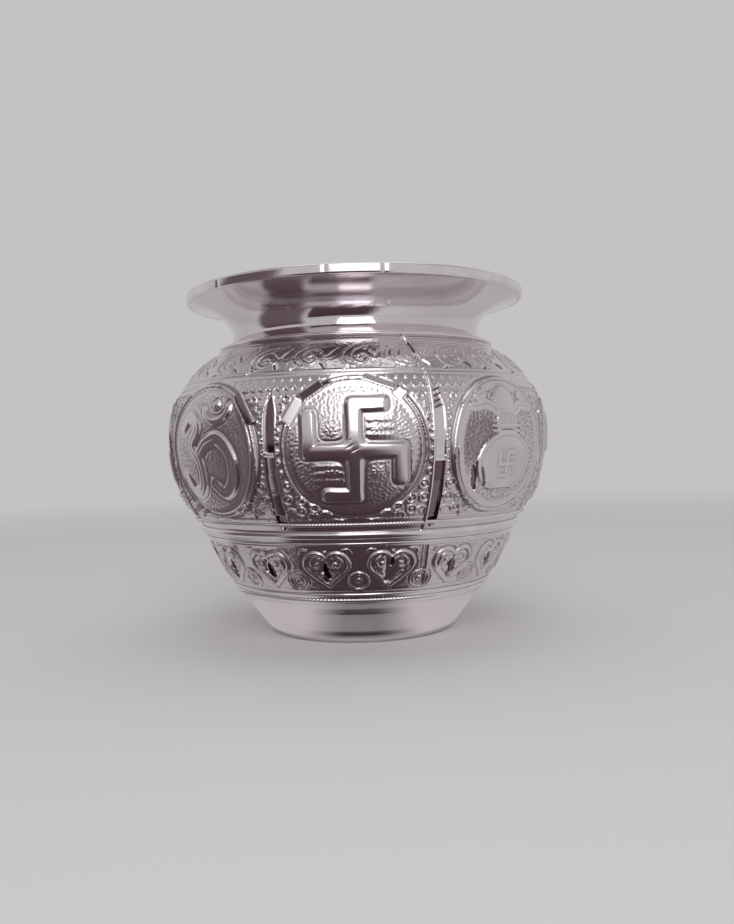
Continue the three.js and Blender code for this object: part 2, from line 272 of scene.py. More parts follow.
class Spot:
    """A patch of the relief round one place: x runs round the pot and y up its wall."""

    def __init__(self, relief, angle, place, reach, turn, mirrored):
        x = wrapped(relief.angles - angle) * relief.radii
        y = relief.places - place
        self.relief = relief
        self.index = np.nonzero((np.abs(x) < reach) & (np.abs(y) < reach))[0]
        x, y = x[self.index], y[self.index]
        self.x = x * math.cos(turn) + y * math.sin(turn)
        self.y = y * math.cos(turn) - x * math.sin(turn)
        if mirrored:
            self.x = -self.x
        self.empty = self.index.size == 0
        self.clear()

    def clear(self):
        self.over = np.zeros(self.x.shape)
        self.under = np.zeros(self.x.shape)

    def lift(self, amount):
        self.over = np.maximum(self.over, amount)

    def sink(self, amount):
        self.under = np.maximum(self.under, amount)

    def line(self, points, width, height):
        self.lift(height * crown(chain_distance(self.x, self.y, points), width / 2))

    def groove(self, points, width, depth):
        distance = chain_distance(self.x, self.y, points)
        self.sink(depth * smooth(width / 2, 0, distance))

    def bead(self, x, y, radius, height):
        self.lift(height * crown(np.hypot(self.x - x, self.y - y), radius))

    def ring(self, x, y, radius, width, height):
        self.lift(height * crown(np.abs(np.hypot(self.x - x, self.y - y) - radius), width / 2))

    def press(self):
        """Adds what was raised and sunk to the relief, and starts afresh."""
        self.relief.height[self.index] += self.over - self.under
        self.clear()

    def grain(self, amount):
        self.relief.grain[self.index] = np.maximum(self.relief.grain[self.index], amount)

    def paint_shade(self, amount):
        """Paints shade on the ground: darkens it without cutting it."""
        self.relief.dark[self.index] = np.maximum(self.relief.dark[self.index], amount)

    def cut(self, inside, plane, dark=0.0, hatch=0.0):
        """A bright cut where a distance inside its outline is above nothing, down to a plane; its dark
        is painted dark reflection.
        """
        relief, index = self.relief, self.index
        mask = smooth(-0.05, 0.05, inside)
        relief.height[index] = relief.height[index] * (1 - mask) + plane * mask
        relief.cut[index] = np.maximum(relief.cut[index] * (1 - mask), mask)
        relief.dark[index] = relief.dark[index] * (1 - mask) + dark * mask
        relief.hatch[index] = relief.hatch[index] * (1 - mask) + hatch * mask

    def turned(self, x, y, turn):
        """The spot's places seen from another middle, along and across another way."""
        dx, dy = self.x - x, self.y - y
        along = dx * math.cos(turn) + dy * math.sin(turn)
        return along, dy * math.cos(turn) - dx * math.sin(turn)

    def flat(self, x, y, turn, length, width, level, slope=0.0, dark=0.0, stripes=0):
        """A true flat filed across the curved work, with lines across or along it; its dark is painted
        dark reflection.
        """
        u, v = self.turned(x, y, turn)
        inside = np.minimum(width / 2 - np.abs(v), length / 2 - np.abs(u))
        lines = {0: 0.0, 1: u / 0.36, 2: v / 0.3}[stripes]
        curve = (self.x - x) ** 2 / (2 * BELLY_RADIUS) + (self.y - y) ** 2 / (2 * BELLY_UPPER_CURVE)
        self.cut(inside, level + slope * v + curve, dark, lines)

    def leaf_cut(self, x, y, turn, length, width, depth, left_painted_dark, right_painted_dark):
        """A pointed cut of two slopes that meet along its middle, each slope with its own painted dark
        reflection.
        """
        u, v = self.turned(x, y, turn)
        half = width / 2 * crown(u, length / 2)
        plane = -depth * np.clip(1 - np.abs(v) / (width / 2), 0, 1)
        self.cut(half - np.abs(v) - 0.02, plane, np.where(v > 0, left_painted_dark, right_painted_dark))


# Figures in the medallions: x runs to the right and y up, from the middle


SWASTIK_DROP = 0.35  # the figure's middle lies this far below the medallion's
SWASTIK_TIPS = (0.6, 0.58, 0.56, 0.74)  # how far each bent arm runs: top, right, bottom, left
# A chased line that runs round the upper left quarter, inside the arms
QUARTER_LINE = [(-1.75, 7.6), (-1.7, 4.6), (-1.8, 2.2), (-2.5, 1.45), (-4, 1.35), (-5.4, 1.5), (-6, 2.3),
                (-6.1, 4.2), (-6.2, 6)]


def swastik_arms(reach, tip):
    """Middle lines of the four arms, each bent to the right, with tips as parts of the reach."""
    arms = []
    for quarter in range(4):
        c, s = math.cos(-quarter * TAU / 4), math.sin(-quarter * TAU / 4)
        points = [(0, 0), (0, reach), (tip * reach, reach)]
        arms.append([(x * c - y * s, x * s + y * c) for x, y in points])
    return arms


def box_distance(x, y, points):
    """Like the distance to a chain of lines along x and y, with square ends and corners."""
    best = np.full(x.shape, 1e6)
    for (ax, ay), (bx, by) in zip(points, points[1:]):
        dx = np.maximum(np.abs(x - (ax + bx) / 2) - abs(bx - ax) / 2, 0)
        dy = np.maximum(np.abs(y - (ay + by) / 2) - abs(by - ay) / 2, 0)
        best = np.minimum(best, (dx**3 + dy**3) ** (1 / 3))
    return best


def raise_figure(spot, distance, half, height):
    """A broad stroke with a flat top, soft sides and a faint chased line round it."""
    wobble = 0.1 * lattice_noise(spot.x + 31, spot.y + 17, 2.4, 61)
    gap = distance + wobble
    spot.lift(height * (0.88 * smooth(half + 0.2, half - 0.5, gap) + 0.12 * smooth(half, 0, gap)))
    spot.sink(0.08 * smooth(0.4, 0, np.abs(gap - half - 0.35)))


def swastik(spot, seed):
    half = FIGURE_STROKE / 2
    reach = FIGURE_REACH - half
    x, y = spot.x, spot.y + SWASTIK_DROP
    closeness = 0
    for arm, tip in zip(swastik_arms(reach, 1.0), SWASTIK_TIPS):
        arm[2] = tuple(a + (b - a) * tip for a, b in zip(arm[1], arm[2]))
        closeness = closeness + np.maximum(box_distance(x, y, arm), 0.01) ** -4
    distance = closeness**-0.25  # runs smoothly from one arm to the next
    raise_figure(spot, distance, half, 0.85 * (FIGURE_CREST - PLATEAU))
    clear = smooth(half + 0.4, half + 0.9, distance)
    rho = np.hypot(x, y)
    quadrants = smooth(0.5, 1.2, np.minimum(np.abs(x), np.abs(y))) * clear
    inner = quadrants * smooth(7.4, 6.6, np.maximum(np.abs(x), np.abs(y)))
    ribbed = inner * (x * y > 0)
    spot.lift(0.12 * ribbed * (0.5 + 0.5 * np.cos(y * TAU / 1.3)))
    spot.groove(spline(QUARTER_LINE, 4), 0.5, 0.14)
    for side_x, side_y in ((-1, 1), (1, -1), (1, 1), (-1, -1)):
        rosette(spot, side_x * 3.9, side_y * 3.5 - SWASTIK_DROP, 1.1)
    turns = np.arctan2(y, x)
    rays = 0.5 + 0.5 * np.cos(turns * 96)
    spot.lift(0.05 * clear * rays * smooth(8.4, 9, rho) * smooth(10.6, 10.2, rho) * (np.abs(y) < 7))
    stipple(spot, clear * smooth(11, 10.4, rho) * (1 - ribbed * 0.6), seed, 0.07)


def rosette(spot, x, y, radius):
    dx, dy = spot.x - x, spot.y - y
    rho, turn = np.hypot(dx, dy), np.arctan2(dy, dx)
    petals = crown(np.abs(rho - radius * 0.62), radius * 0.38) * (0.55 + 0.45 * np.cos(8 * turn))
    spot.lift(0.16 * petals)
    spot.bead(x, y, radius * 0.3, 0.22)


def stipple(spot, amount, seed, depth, pitch=0.5):
    marks = punch_marks(spot.x, spot.y, pitch, seed)
    spot.sink(amount * depth * marks)
    spot.grain(amount)


def om(spot, seed):
    half = FIGURE_STROKE / 2
    bowls = spline([(-7.4, 5), (-4.6, 6.6), (-1.9, 4.4), (-4.2, 1.3), (-1.7, -1.8), (-2.2, -6.2),
                    (-5.3, -7.5), (-8, -5)])
    tail = spline([(-1.4, 0.2), (0.8, 1.8), (4.2, 2.3), (7, -0.9), (6.6, -5), (3.9, -7.5),
                   (1.5, -5.9)])
    moon = ellipse(3.3, 8.1, 3.3, 2.6, math.pi, TAU, 14)
    spans = [chain_distance(spot.x, spot.y, line) for line in (bowls, tail)]
    distance = np.minimum(*spans)
    fade = smooth(-9.6, -4.6, spot.x)  # the strokes run out softly at their left ends
    raise_figure(spot, distance, half, 0.75 * fade * (FIGURE_CREST - PLATEAU))
    spot.sink(0.1 * smooth(0.3, 0, spans[1]) + 0.06 * smooth(0.3, 0, spans[0]))
    crescent = chain_distance(spot.x, spot.y, moon)
    raise_figure(spot, crescent, 0.75, 0.45)
    dot = np.hypot(spot.x - 3.4, spot.y - 8.5)
    raise_figure(spot, dot, 0.95, 0.5)
    clear = smooth(half + 0.5, half + 0.9, distance)
    clear *= smooth(1.2, 1.6, crescent) * smooth(1.4, 1.8, dot)
    rho = np.hypot(spot.x, spot.y)
    stipple(spot, clear * smooth(11, 10.4, rho), seed, 0.085)


def pot_figure(spot, seed):
    """A full kalash: pot with a small swastik, neck with beads, leaves and the coconut on top."""
    x, y = spot.x, spot.y
    pot = np.hypot(x / 7.4, (y + 3.1) / 5.5)
    pot = np.where(y < -7.9, np.maximum(pot, 1.2), pot)
    rim_gap = (pot - 1) * 5.5
    spot.lift(0.3 * crown(pot, 1) + 0.08 * smooth(0, -0.5, rim_gap))
    spot.lift(0.34 * crown(rim_gap + 0.3, 0.4))
    spot.sink(0.16 * smooth(0.34, 0, np.abs(rim_gap - 0.4)))
    small = np.full(x.shape, 1e6)
    for arm in swastik_arms(2.1, 0.9):
        small = np.minimum(small, chain_distance(x, y + 3.4, arm))
    spot.relief.height[spot.index] += 0.22 * crown(small, 0.42)
    for height, width in ((2.5, 7.2), (3.5, 7.6), (6, 6.4)):
        spot.line([(-width / 2, height), (width / 2, height)], 0.6, 0.28)
    neck = (np.abs(x) < 2.9 - 0.1 * (y - 3)) & (y > 2) & (y < 6.2)
    spot.lift(0.14 * neck)
    for step in range(6):
        spot.bead(-2.4 + 0.96 * step, 4.8, 0.4, 0.34)
    spot.lift(0.3 * crown(np.hypot(x, y - 8.1), 2.9) * (y > 6))  # the coconut
    for side in (-1, 1):
        for tip_x, tip_y, bend in ((8.3, 6.9, 4.4), (5.4, 9.4, 6.6)):
            leaf = spline([(side * 2.3, 5.9), (side * bend, (5.9 + tip_y) / 2 + 0.9),
                           (side * tip_x, tip_y)])
            gap = chain_distance(x, y, leaf)
            spot.lift(0.24 * crown(gap, 0.95))
            spot.sink(0.12 * smooth(0.2, 0, gap))
    rho = np.hypot(x, y)
    ground = smooth(0.02, 0.06, 0.06 - spot.over) * smooth(11, 10.4, rho)
    stipple(spot, ground, seed, 0.2, 0.62)
    # Painted shade on the ground to the left of the pot's upper part and its neck
    spot.paint_shade(0.5 * ground * smooth(-3, -4.6, x) * smooth(-6.5, -1, y) * smooth(7.5, 4, y))


def pot_shade_lines(spot):
    """Two cuts with painted shade in them that set the pot figure off from its ground at the lower left.
    """
    spot.leaf_cut(-7.5, -5.9, 1.85, 5.2, 1.0, 0.16, 0.8, 0.8)
    spot.leaf_cut(-5.6, -5.6, 1.95, 4.0, 0.55, 0.12, 0.7, 0.7)


# Flats filed on a medallion's border, by its figure: angle, length, width, level, slope, how much
# painted dark reflection it has, and which way its fine lines run
BORDER_FLATS = {
    "swastik": [
        (148, 4.9, 1.9, 0.42, -0.22, 0.0, 1),
        (125, 4.6, 1.5, 0.42, 0.1, 0.85, 0),
        (112, 1.3, 1.0, 0.42, 0.1, 0.85, 0),
        (68, 5.6, 1.2, 0.44, 0.1, 0.3, 2),
        (49, 1.9, 1.8, 0.48, -0.14, 0.0, 0),
    ],
    "pot": [],
    "om": [(37, 6.8, 1.3, 0.4, 0.05, 0.78, 0)],
}
FLAT_PLACE = 12.4  # radius of the flats' middles
FLAT_STEP = 0.36  # each flat lies on a ledge this much longer and wider, at the ledge's level
FLAT_LEDGE = 0.3
BORDER_HEIGHT = 0.42
BORDER_INSIDE = 11.5
BORDER_GROOVE = 12.05
BORDER_LINES = ((12.6, 0.42, 0.22), (11.7, 0.36, 0.14))  # radius, width and height
BORDER_PUNCHES = 68
PUNCH_PLACE = 10.8
TOP_LINES = (11.9, 12.3, 12.75)  # radii of three fine lines at the top of the border
TOP_LINES_TURN = 97 * DEG
MEDALLION_REACH = 14.5
LEFT_MEDALLION = 7  # the one at the left of the view
FIGURES = ["swastik", "pot", "swastik", "om"]


def figure_of(number):
    return FIGURES[number % len(FIGURES)]


def medallion(spot, number):
    rho = np.hypot(spot.x, spot.y)
    spot.lift(BORDER_HEIGHT * smooth(MEDALLION_RADIUS + 0.2, MEDALLION_RADIUS - 0.4, rho))
    spot.sink((BORDER_HEIGHT - PLATEAU) * smooth(BORDER_INSIDE, BORDER_INSIDE - 0.5, rho))
    spot.press()
    spot.sink(0.12 * smooth(0.4, 0, np.abs(rho - MEDALLION_RADIUS - 0.35)))
    spot.sink(0.08 * smooth(0.35, 0, np.abs(rho - BORDER_GROOVE)))
    figure = figure_of(number)
    turns = np.arctan2(spot.y, spot.x)
    # The border's lines are lower at the bottom, and on the pot's border at the upper left
    soft = 0.6 * smooth(0.7, 0.4, np.abs(turns + 90 * DEG))
    if figure == "pot":
        soft = np.maximum(soft, smooth(0.85, 0.55, np.abs(turns - 140 * DEG)))
    for radius, width, rise in BORDER_LINES:
        spot.lift(rise * (1 - soft) * crown(np.abs(rho - radius), width / 2))
    step = (turns * BORDER_PUNCHES / TAU) % 1 - 0.5
    along = step * TAU / BORDER_PUNCHES * PUNCH_PLACE
    spot.sink(0.05 * crown(np.hypot(along, rho - PUNCH_PLACE), 0.3))
    at_top = smooth(0.42, 0.3, np.abs(turns - TOP_LINES_TURN))
    for radius in TOP_LINES:
        spot.lift(0.16 * at_top * crown(rho - radius, 0.17))
    draw = {"swastik": swastik, "pot": pot_figure, "om": om}[figure]
    draw(spot, 40 + number)
    spot.press()
    if figure == "pot":
        pot_shade_lines(spot)


def border_flats(spot, number):
    """The bright flats on a medallion's border."""
    random = np.random.default_rng(70 + number)
    for side, length, width, level, slope, dark, stripes in BORDER_FLATS[figure_of(number)]:
        turn = side * DEG
        # Only the front medallion and the one at the left of the view keep the full painted dark
        # reflection; the others get 0.3 of it
        if number not in (0, LEFT_MEDALLION):
            turn += random.uniform(-0.06, 0.06)
            dark = 0.3 * dark
        x, y = FLAT_PLACE * math.cos(turn), FLAT_PLACE * math.sin(turn)
        ends = turn + math.pi / 2
        spot.flat(x, y, ends, length + FLAT_STEP, width + FLAT_STEP, FLAT_LEDGE)
        spot.flat(x, y, ends, length, width, level, slope, dark, stripes)


# Small work round the medallions


def clear_of_medallions(relief, margin):
    """One where a place is outside every medallion by a margin."""
    pitch = TAU / MEDALLIONS
    around = (relief.angles + pitch / 2) % pitch - pitch / 2
    rho = np.hypot(around * relief.radii, relief.places - MEDALLION_PLACE)
    return rho > MEDALLION_RADIUS + margin


# Rows above the medallions: how far above their middle, how many round the pot, and their shape
PUNCH_ROWS = ((12.6, 136, "dot"), (10.95, 136, "scallop"), (9.5, 192, "bead"))


def rows_of_punches(relief):
    outside = clear_of_medallions(relief, 0.25)
    for place, count, kind in PUNCH_ROWS:
        y = relief.places - MEDALLION_PLACE - place
        step = (relief.angles * count / TAU) % 1 - 0.5
        x = step * TAU / count * relief.radii
        if kind == "scallop":
            shape = 0.18 * crown(np.abs(np.hypot(x, y - 0.55) - 0.8), 0.2) * (y < 0.4)
            shape = np.maximum(shape, 0.15 * crown(np.hypot(np.abs(x) - 0.85, y - 0.35), 0.26))
        else:
            size = 0.3 if kind == "dot" else 0.38
            shape = 0.13 * crown(np.hypot(x, y), size)
        relief.height += shape * outside


# Half of the work beside a spindle, from its middle: crescents by their place and size, ring
# punches by their place, and curls by their place and turn
CRESCENTS = ((2.2, 7.4, 0.75), (1.85, 5.3, 0.62), (1.6, 3.3, 0.5), (1.5, 1.6, 0.4),
             (1.5, -0.4, 0.36), (1.55, -2.3, 0.42), (1.75, -4.3, 0.55))
RING_PUNCHES = ((2.6, -6.6), (2.3, -9.1), (4.7, -9.2), (6.9, -10.7), (4.3, -11.4))
CURL_PUNCHES = ((2.4, -11.6, 0.5), (8.7, -11.9, -0.4), (6.3, -12.6, 0.3))
CORNER_REACH = 15
HALF_STEP = 15.3  # a medallion's middle lies this far to the side of a spindle's


def corner_work(relief, number):
    """Crescents and ring punches in the corners between two medallions and the spindle."""
    angle = (number + 0.5) * TAU / MEDALLIONS
    for mirrored in (False, True):
        spot = relief.spot(angle, MEDALLION_PLACE, CORNER_REACH, mirrored=mirrored)
        if spot.empty:
            continue
        for x, y, size in CRESCENTS:
            spot.line(ellipse(x, y, size * 0.7, size, -1.9, 1.9, 8), 0.34, 0.24)
        spot.ring(3.3, 8.9, 0.6, 0.34, 0.2)
        for x, y in RING_PUNCHES:
            spot.ring(x, y, 0.86, 0.36, 0.25)
            spot.bead(x, y, 0.36, 0.25)
        for x, y, turn in CURL_PUNCHES:
            spot.line(ellipse(x, y, 0.95, 0.8, turn, turn + 3.4, 9), 0.36, 0.24)
        outside = np.hypot(spot.x - HALF_STEP, spot.y) > MEDALLION_RADIUS + 0.5
        near_ring = outside & (spot.y < 8.4) & (spot.x > 1.2) & (spot.y > -13.2)
        marks = punch_marks(spot.x, spot.y, 0.7, 90 + number)
        spot.sink(0.04 * marks * near_ring)
        spot.grain(near_ring * 0.6)
        spot.press()


# Facets of the two kinds of spindle, from the top down: where each begins above the medallions'
# middle, how far its ridge lies to the right, how much painted dark reflection its left and right
# slopes have, their steepness, and its cross lines.
SPINDLE_FACETS = {
    "ridged": [
        (10.8, -0.3, 0.0, 0.9, 0.3, 0),
        (-0.8, -0.55, 0.8, 0.05, 0.06, 1),
        (-4.4, -0.9, 0.4, 0.3, 0.06, 1),
        (-7.6, -0.8, 0.5, 0.45, 0.05, 0),
        (-12.4, 0.9, 0.85, 0.4, 0.12, 0),
    ],
    "flat": [
        (10.7, -0.9, 0.2, 0.35, 0.06, 1),
        (6.9, -0.95, 0.1, 0.05, 0.02, 0),
        (-2.1, -0.9, 0.2, 0.9, 0.16, 0),
        (-6.2, -0.85, 0.2, 0.8, 0.2, 0),
        (-13.3, -0.7, 0.3, 1.0, 0.24, 0),
    ],
}
SPINDLE_END = -15.4
SPINDLE_REACH = 17


def spindle(spot, number):
    """A bright cut between two medallions: lengths of two slopes that meet on a ridge."""
    facets = SPINDLE_FACETS["flat" if number % 2 == 0 else "ridged"]
    x, y = spot.x, spot.y
    top = facets[0][0]
    half_width = SPINDLE_WIDTH / 2 * smooth(top + 0.1, top - 5, y) ** 0.8
    half_width = half_width * smooth(SPINDLE_END - 0.1, SPINDLE_END + 1.2, y)
    border = crown(np.abs(np.abs(x) - half_width - 0.22), 0.2) * (half_width > 0.15)
    spot.relief.height[spot.index] += 0.13 * border
    ends = [facet[0] for facet in facets[1:]] + [SPINDLE_END]
    for (start, ridge, left, right, steep, stripes), end in zip(facets, ends):
        plane = 0.02 - steep * np.abs(x - ridge)
        hatch = y / 0.4 * stripes
        inside = np.minimum(half_width - np.abs(x), np.minimum(start - y, y - end))
        # The slopes' dark is painted dark reflection
        spot.cut(inside, plane - 0.1, np.where(x < ridge, left, right), hatch)
    gap = np.abs(y - (facets[1][0] if number % 2 else facets[2][0]))
    spot.cut(np.minimum(half_width - np.abs(x), 0.45 - gap), gap * 0.6 - 0.12)
    # Four short cuts with painted dark reflection on the flat spindles
    if number % 2 == 0:
        for stroke in range(4):
            spot.leaf_cut(-0.1, 10.2 - 1.05 * stroke, 0.45, 1.9, 0.42, 0.12, 0.9, 0.9)


# Shoulder


def shoulder_curl(relief, number):
    """One leaf of the scroll that runs round the shoulder, with its bright cuts."""
    random = np.random.default_rng(200 + number)
    angle = (number + 0.12) * TAU / CURLS
    place = UPPER.place(LEAF_HEIGHT) + random.uniform(-0.15, 0.15)
    spot = relief.spot(angle, float(place), 6, turn=random.uniform(-0.12, 0.12))
    if spot.empty:
        return
    outer = spline([(-0.9, -3), (-2.6, -2.1), (-2.9, 0.2), (-1.2, 2.4), (1.6, 3.2), (4, 3.5)])
    spot.line(outer, 0.6, 0.17)
    spot.line(spline([(3.6, 2.7), (1.2, 2.1), (-0.8, 1), (-1.5, -0.7), (-0.8, -1.9)]), 0.42, 0.11)
    spot.line(spline([(-0.8, -1.9), (0.5, -2.4), (1.5, -1.3), (0.9, -0.1), (-0.1, -0.4)]), 0.5, 0.13)
    spot.bead(0.4, -1.1, 0.36, 0.13)
    spot.groove(outer, 1.5, 0.04)
    for end_x, end_y in ((1.9, 0.6), (2.9, -0.3)):
        spot.line(spline([(0.8, 1.4), (1.6, 1.3), (end_x, end_y)]), 0.36, 0.14)
    spot.press()
    slash = random.uniform(0.8, 1.15)
    # The cuts' dark slopes are painted dark reflection
    spot.leaf_cut(4.1, 0.9, slash, 3.3, 0.8, 0.2, 0.0, 0.35 * random.random())
    painted_dark_side = 0.8 * (random.random() < 0.4)
    spot.leaf_cut(2.9, -2.4, random.uniform(2, 2.7), 2.1, 1.1, 0.3, 0.0, painted_dark_side)
    spot.leaf_cut(-2.4, -3.3, random.uniform(0.3, 0.8), 1.6, 0.8, 0.24, 0.0, painted_dark_side)


# Plain lines round the pot: height, width and rise of each
SHOULDER_LINES = ((50.75, 0.36, 0.08), (51.35, 0.46, 0.14), (57.75, 0.5, 0.16))
FRIEZE_LINES = ((11.55, 0.32, 0.1), (20.05, 0.3, 0.1))


def shoulder_lines(relief):
    """Fine lines that edge the shoulder's scroll and the top of the chased work."""
    for height, width, rise in SHOULDER_LINES:
        gap = np.abs(relief.places - UPPER.place(height))
        relief.height += rise * crown(gap, width / 2)
    heights = np.interp(relief.places, UPPER.places, UPPER.heights)
    band = smooth(51.4, 51.9, heights) * smooth(57.4, 57, heights)
    marks = punch_marks(relief.angles * 32, relief.places, 0.8, 7)
    relief.height -= 0.025 * marks * band
    relief.cut = np.maximum(relief.cut, 0.7 * smooth(57.3, 57.6, heights))


def seam_gap(relief, places, angles):
    """How far each place lies from a line up the wall, as a length round the pot."""
    line = np.interp(relief.places, places, np.array(angles) * DEG)
    return wrapped(relief.angles - line) * relief.radii


def seam(relief):
    """The soldered seam of the sheet: a raised line up the belly beside a spindle."""
    gap = np.abs(seam_gap(relief, [4, 30, 38], [20.6, 20.8, 19]))
    inside = smooth(0.42, 0.3, gap)
    relief.height = relief.height * (1 - inside) + (0.08 + 0.24 * crown(gap, 0.32)) * inside
    relief.cut = np.maximum(relief.cut, 0.8 * inside)
    relief.dark = relief.dark * (1 - inside)


def soft_dents(relief, seed, depth):
    """The slight waves that hand work leaves in the sheet."""
    x = (relief.angles + math.pi) * 36
    broad = lattice_noise(x, relief.places, 9, seed)
    relief.height += depth * (broad + 0.3 * lattice_noise(x, relief.places, 4, seed + 1))


def chase_belly(relief):
    soft_dents(relief, 11, 0.024)
    rows_of_punches(relief)
    shoulder_lines(relief)
    for number, spot in relief.spots(MEDALLIONS, 0, MEDALLION_PLACE, MEDALLION_REACH):
        medallion(spot, number)
    for number in range(MEDALLIONS):
        corner_work(relief, number)
    for number, spot in relief.spots(MEDALLIONS, 0, MEDALLION_PLACE, MEDALLION_REACH):
        border_flats(spot, number)
    low_line = np.abs(relief.places - UPPER.place(25.15))
    relief.height += 0.14 * crown(low_line, 0.2)
    for number in range(CURLS):
        shoulder_curl(relief, number)
    for number, spot in relief.spots(MEDALLIONS, 0.5, MEDALLION_PLACE, SPINDLE_REACH):
        spindle(spot, number)
    seam(relief)


# Hearts of the lower body


def heart_outline(width, length, steps=10):
    half = width / 2
    corners = [
        [(0, 0), (half * 0.5, length * 0.3), (half * 1.15, length * 0.5), (half, length * 0.75)],
        [(half, length * 0.75), (half * 0.9, length * 1.05), (half * 0.2, length * 1.1),
         (0, length * 0.8)],
    ]
    points = []
    for a, b, c, d in corners:
        for t in np.arange(steps) / steps:
            w = ((1 - t) ** 3, 3 * t * (1 - t) ** 2, 3 * t * t * (1 - t), t**3)
            points.append([sum(k * p[axis] for k, p in zip(w, (a, b, c, d))) for axis in (0, 1)])
    right = [*points, [0, length * 0.8]]
    return right + [[-x, y] for x, y in right[-2::-1]]


HEART_PLACE = float(LOWER.place(HEART_TIP))
BOSS_RISE = 1.2  # a boss's middle lies this far above the hearts' tips


def heart(relief, number):
    random = np.random.default_rng(300 + number)
    shift = (1.5 if number == 1 else random.uniform(-0.5, 0.5)) * DEG
    angle = (number + 0.5) * TAU / HEARTS + shift
    spot = relief.spot(angle, HEART_PLACE, 9.5)
    if spot.empty:
        return
    outer = heart_outline(HEART_WIDTH - 0.5, HEART_LENGTH - 0.4)
    inner = [[x * 0.74, 1.05 + (y - 1.05) * 0.8 + 0.2] for x, y in outer]
    spot.line(outer, 0.75, 0.3)
    spot.line(inner, 0.42, 0.18)
    gap = chain_distance(spot.x, spot.y, outer)
    spot.sink(0.1 * smooth(0.3, 0, np.abs(gap - 0.62)))
    for side in (-1, 1):
        volute = spline([(side * 0.2, 6.4), (side * 1.6, 6.7), (side * 2.9, 5.6), (side * 2.3, 4.2),
                         (side * 1.3, 4.4), (side * 1.5, 5.2)])
        spot.line(volute, 0.45, 0.24)
        spot.bead(side * 1.75, 4.95, 0.42, 0.28)
        spot.line(spline([(side * 0.9, 2.6), (side * 1.9, 3.2), (side * 2.6, 2.9)]), 0.34, 0.16)
        spot.line(spline([(side * 4.9, 7.2), (side * 4.3, 8), (side * 3.2, 7.9)]), 0.4, 0.2)
    spot.bead(0, 7.4, 0.45, 0.24)
    spot.press()
    # The cuts' dark slopes below are painted dark reflection
    lean = random.uniform(-0.12, 0.12) + math.pi / 2
    if number == 0:  # the one with a long bright cut
        spot.leaf_cut(-0.9, 3.5, lean, 5.6, 1.3, 0.34, 0.0, 0.0)
        spot.leaf_cut(-0.1, 5.3, lean, 2.0, 1.2, 0.3, 0.9, 0.9)
    else:
        spot.leaf_cut(-0.6, 4.4, lean - 0.3, random.uniform(2.6, 3.4), 1.5, 0.34, 0.0, 0.0)
        spot.leaf_cut(0.1, 3.3, lean + 0.1, random.uniform(2.8, 3.8), 1.7, 0.34, 1.0, 0.75)
    if number % 2:
        spot.leaf_cut(-0.5, 1.6, 2, 1.5, 0.8, 0.16, 0.8, 0.8)


def boss(spot):
    """A ring punch with smaller ones in it, between the tips of two hearts."""
    spot.ring(0, 0, 1.85, 0.42, 0.26)
    spot.ring(0, 0, 1.25, 0.3, 0.12)
    spot.ring(0, 0, 0.5, 0.32, 0.22)
    spot.sink(0.08 * smooth(2.5, 2.2, np.hypot(spot.x, spot.y)))
    spot.press()


def chase_frieze(relief):
    soft_dents(relief, 21, 0.025)
    for number in range(HEARTS):
        heart(relief, number)
    for number, spot in relief.spots(HEARTS, 0, HEART_PLACE + BOSS_RISE, 4):
        boss(spot)
    heights = np.interp(relief.places, LOWER.places, LOWER.heights)
    for height, width, rise in FRIEZE_LINES:
        relief.height += rise * crown(np.abs(heights - height), width / 2)
    frieze = smooth(11.7, 12.1, heights) * smooth(20, 19.6, heights)
    marks = punch_marks(relief.angles * 30, relief.places, 0.66, 8)
    relief.height -= 0.03 * marks * frieze
    relief.grain = np.maximum(relief.grain, 0.5 * frieze)
    gap = seam_gap(relief, [0, LOWER.length], [24.6, 22.6])
    strip = smooth(0.4, 0.3, np.abs(gap)) * frieze
    relief.height += 0.08 * crown(np.abs(gap) - 0.5, 0.16) * frieze - 0.1 * strip
    relief.dark = np.maximum(relief.dark, 0.4 * strip)


# Meshes


def select_only(*objects):
    bpy.ops.object.select_all(action="DESELECT")
    for piece in objects:
        piece.select_set(True)
    bpy.context.view_layer.objects.active = objects[0]


def in_edit_mode(piece, *steps):
    """Runs edit steps with all of the piece selected."""
    select_only(piece)
    bpy.ops.object.mode_set(mode="EDIT")
    bpy.ops.mesh.select_all(action="SELECT")
    for step in steps:
        step()
    bpy.ops.object.mode_set(mode="OBJECT")


def new_grid(name, columns, rows, size=1):
    bpy.ops.object.select_all(action="DESELECT")
    bpy.ops.mesh.primitive_grid_add(x_subdivisions=columns, y_subdivisions=rows, size=size)
    piece = bpy.context.object
    piece.name = piece.data.name = name
    return piece


def coordinates(piece):
    flat = np.zeros(len(piece.data.vertices) * 3)
    piece.data.vertices.foreach_get("co", flat)
    return flat.reshape(-1, 3)


def place_vertices(piece, points):
    piece.data.vertices.foreach_set("co", np.ascontiguousarray(points, float).ravel())
    piece.data.update()


def on_pot(angles, radii, heights):
    """Points in metres from an angle, a radius and a height."""
    return np.column_stack([np.sin(angles) * radii, -np.cos(angles) * radii, heights]) * MM


def store(piece, name, values):
    attribute = piece.data.attributes.new(name, "FLOAT", "POINT")
    attribute.data.foreach_set("value", np.ascontiguousarray(values, np.float32))


def blur(grid, reach):
    """Averages each place with its neighbours within a reach, along both ways."""
    for axis in (0, 1):
        width = [(0, 0), (0, 0)]
        width[axis] = (reach + 1, reach)
        total = np.cumsum(np.pad(grid, width, mode="edge"), axis=axis)
        size = grid.shape[axis]
        high = np.take(total, range(2 * reach + 1, 2 * reach + 1 + size), axis=axis)
        low = np.take(total, range(size), axis=axis)
        grid = (high - low) / (2 * reach + 1)
    return grid


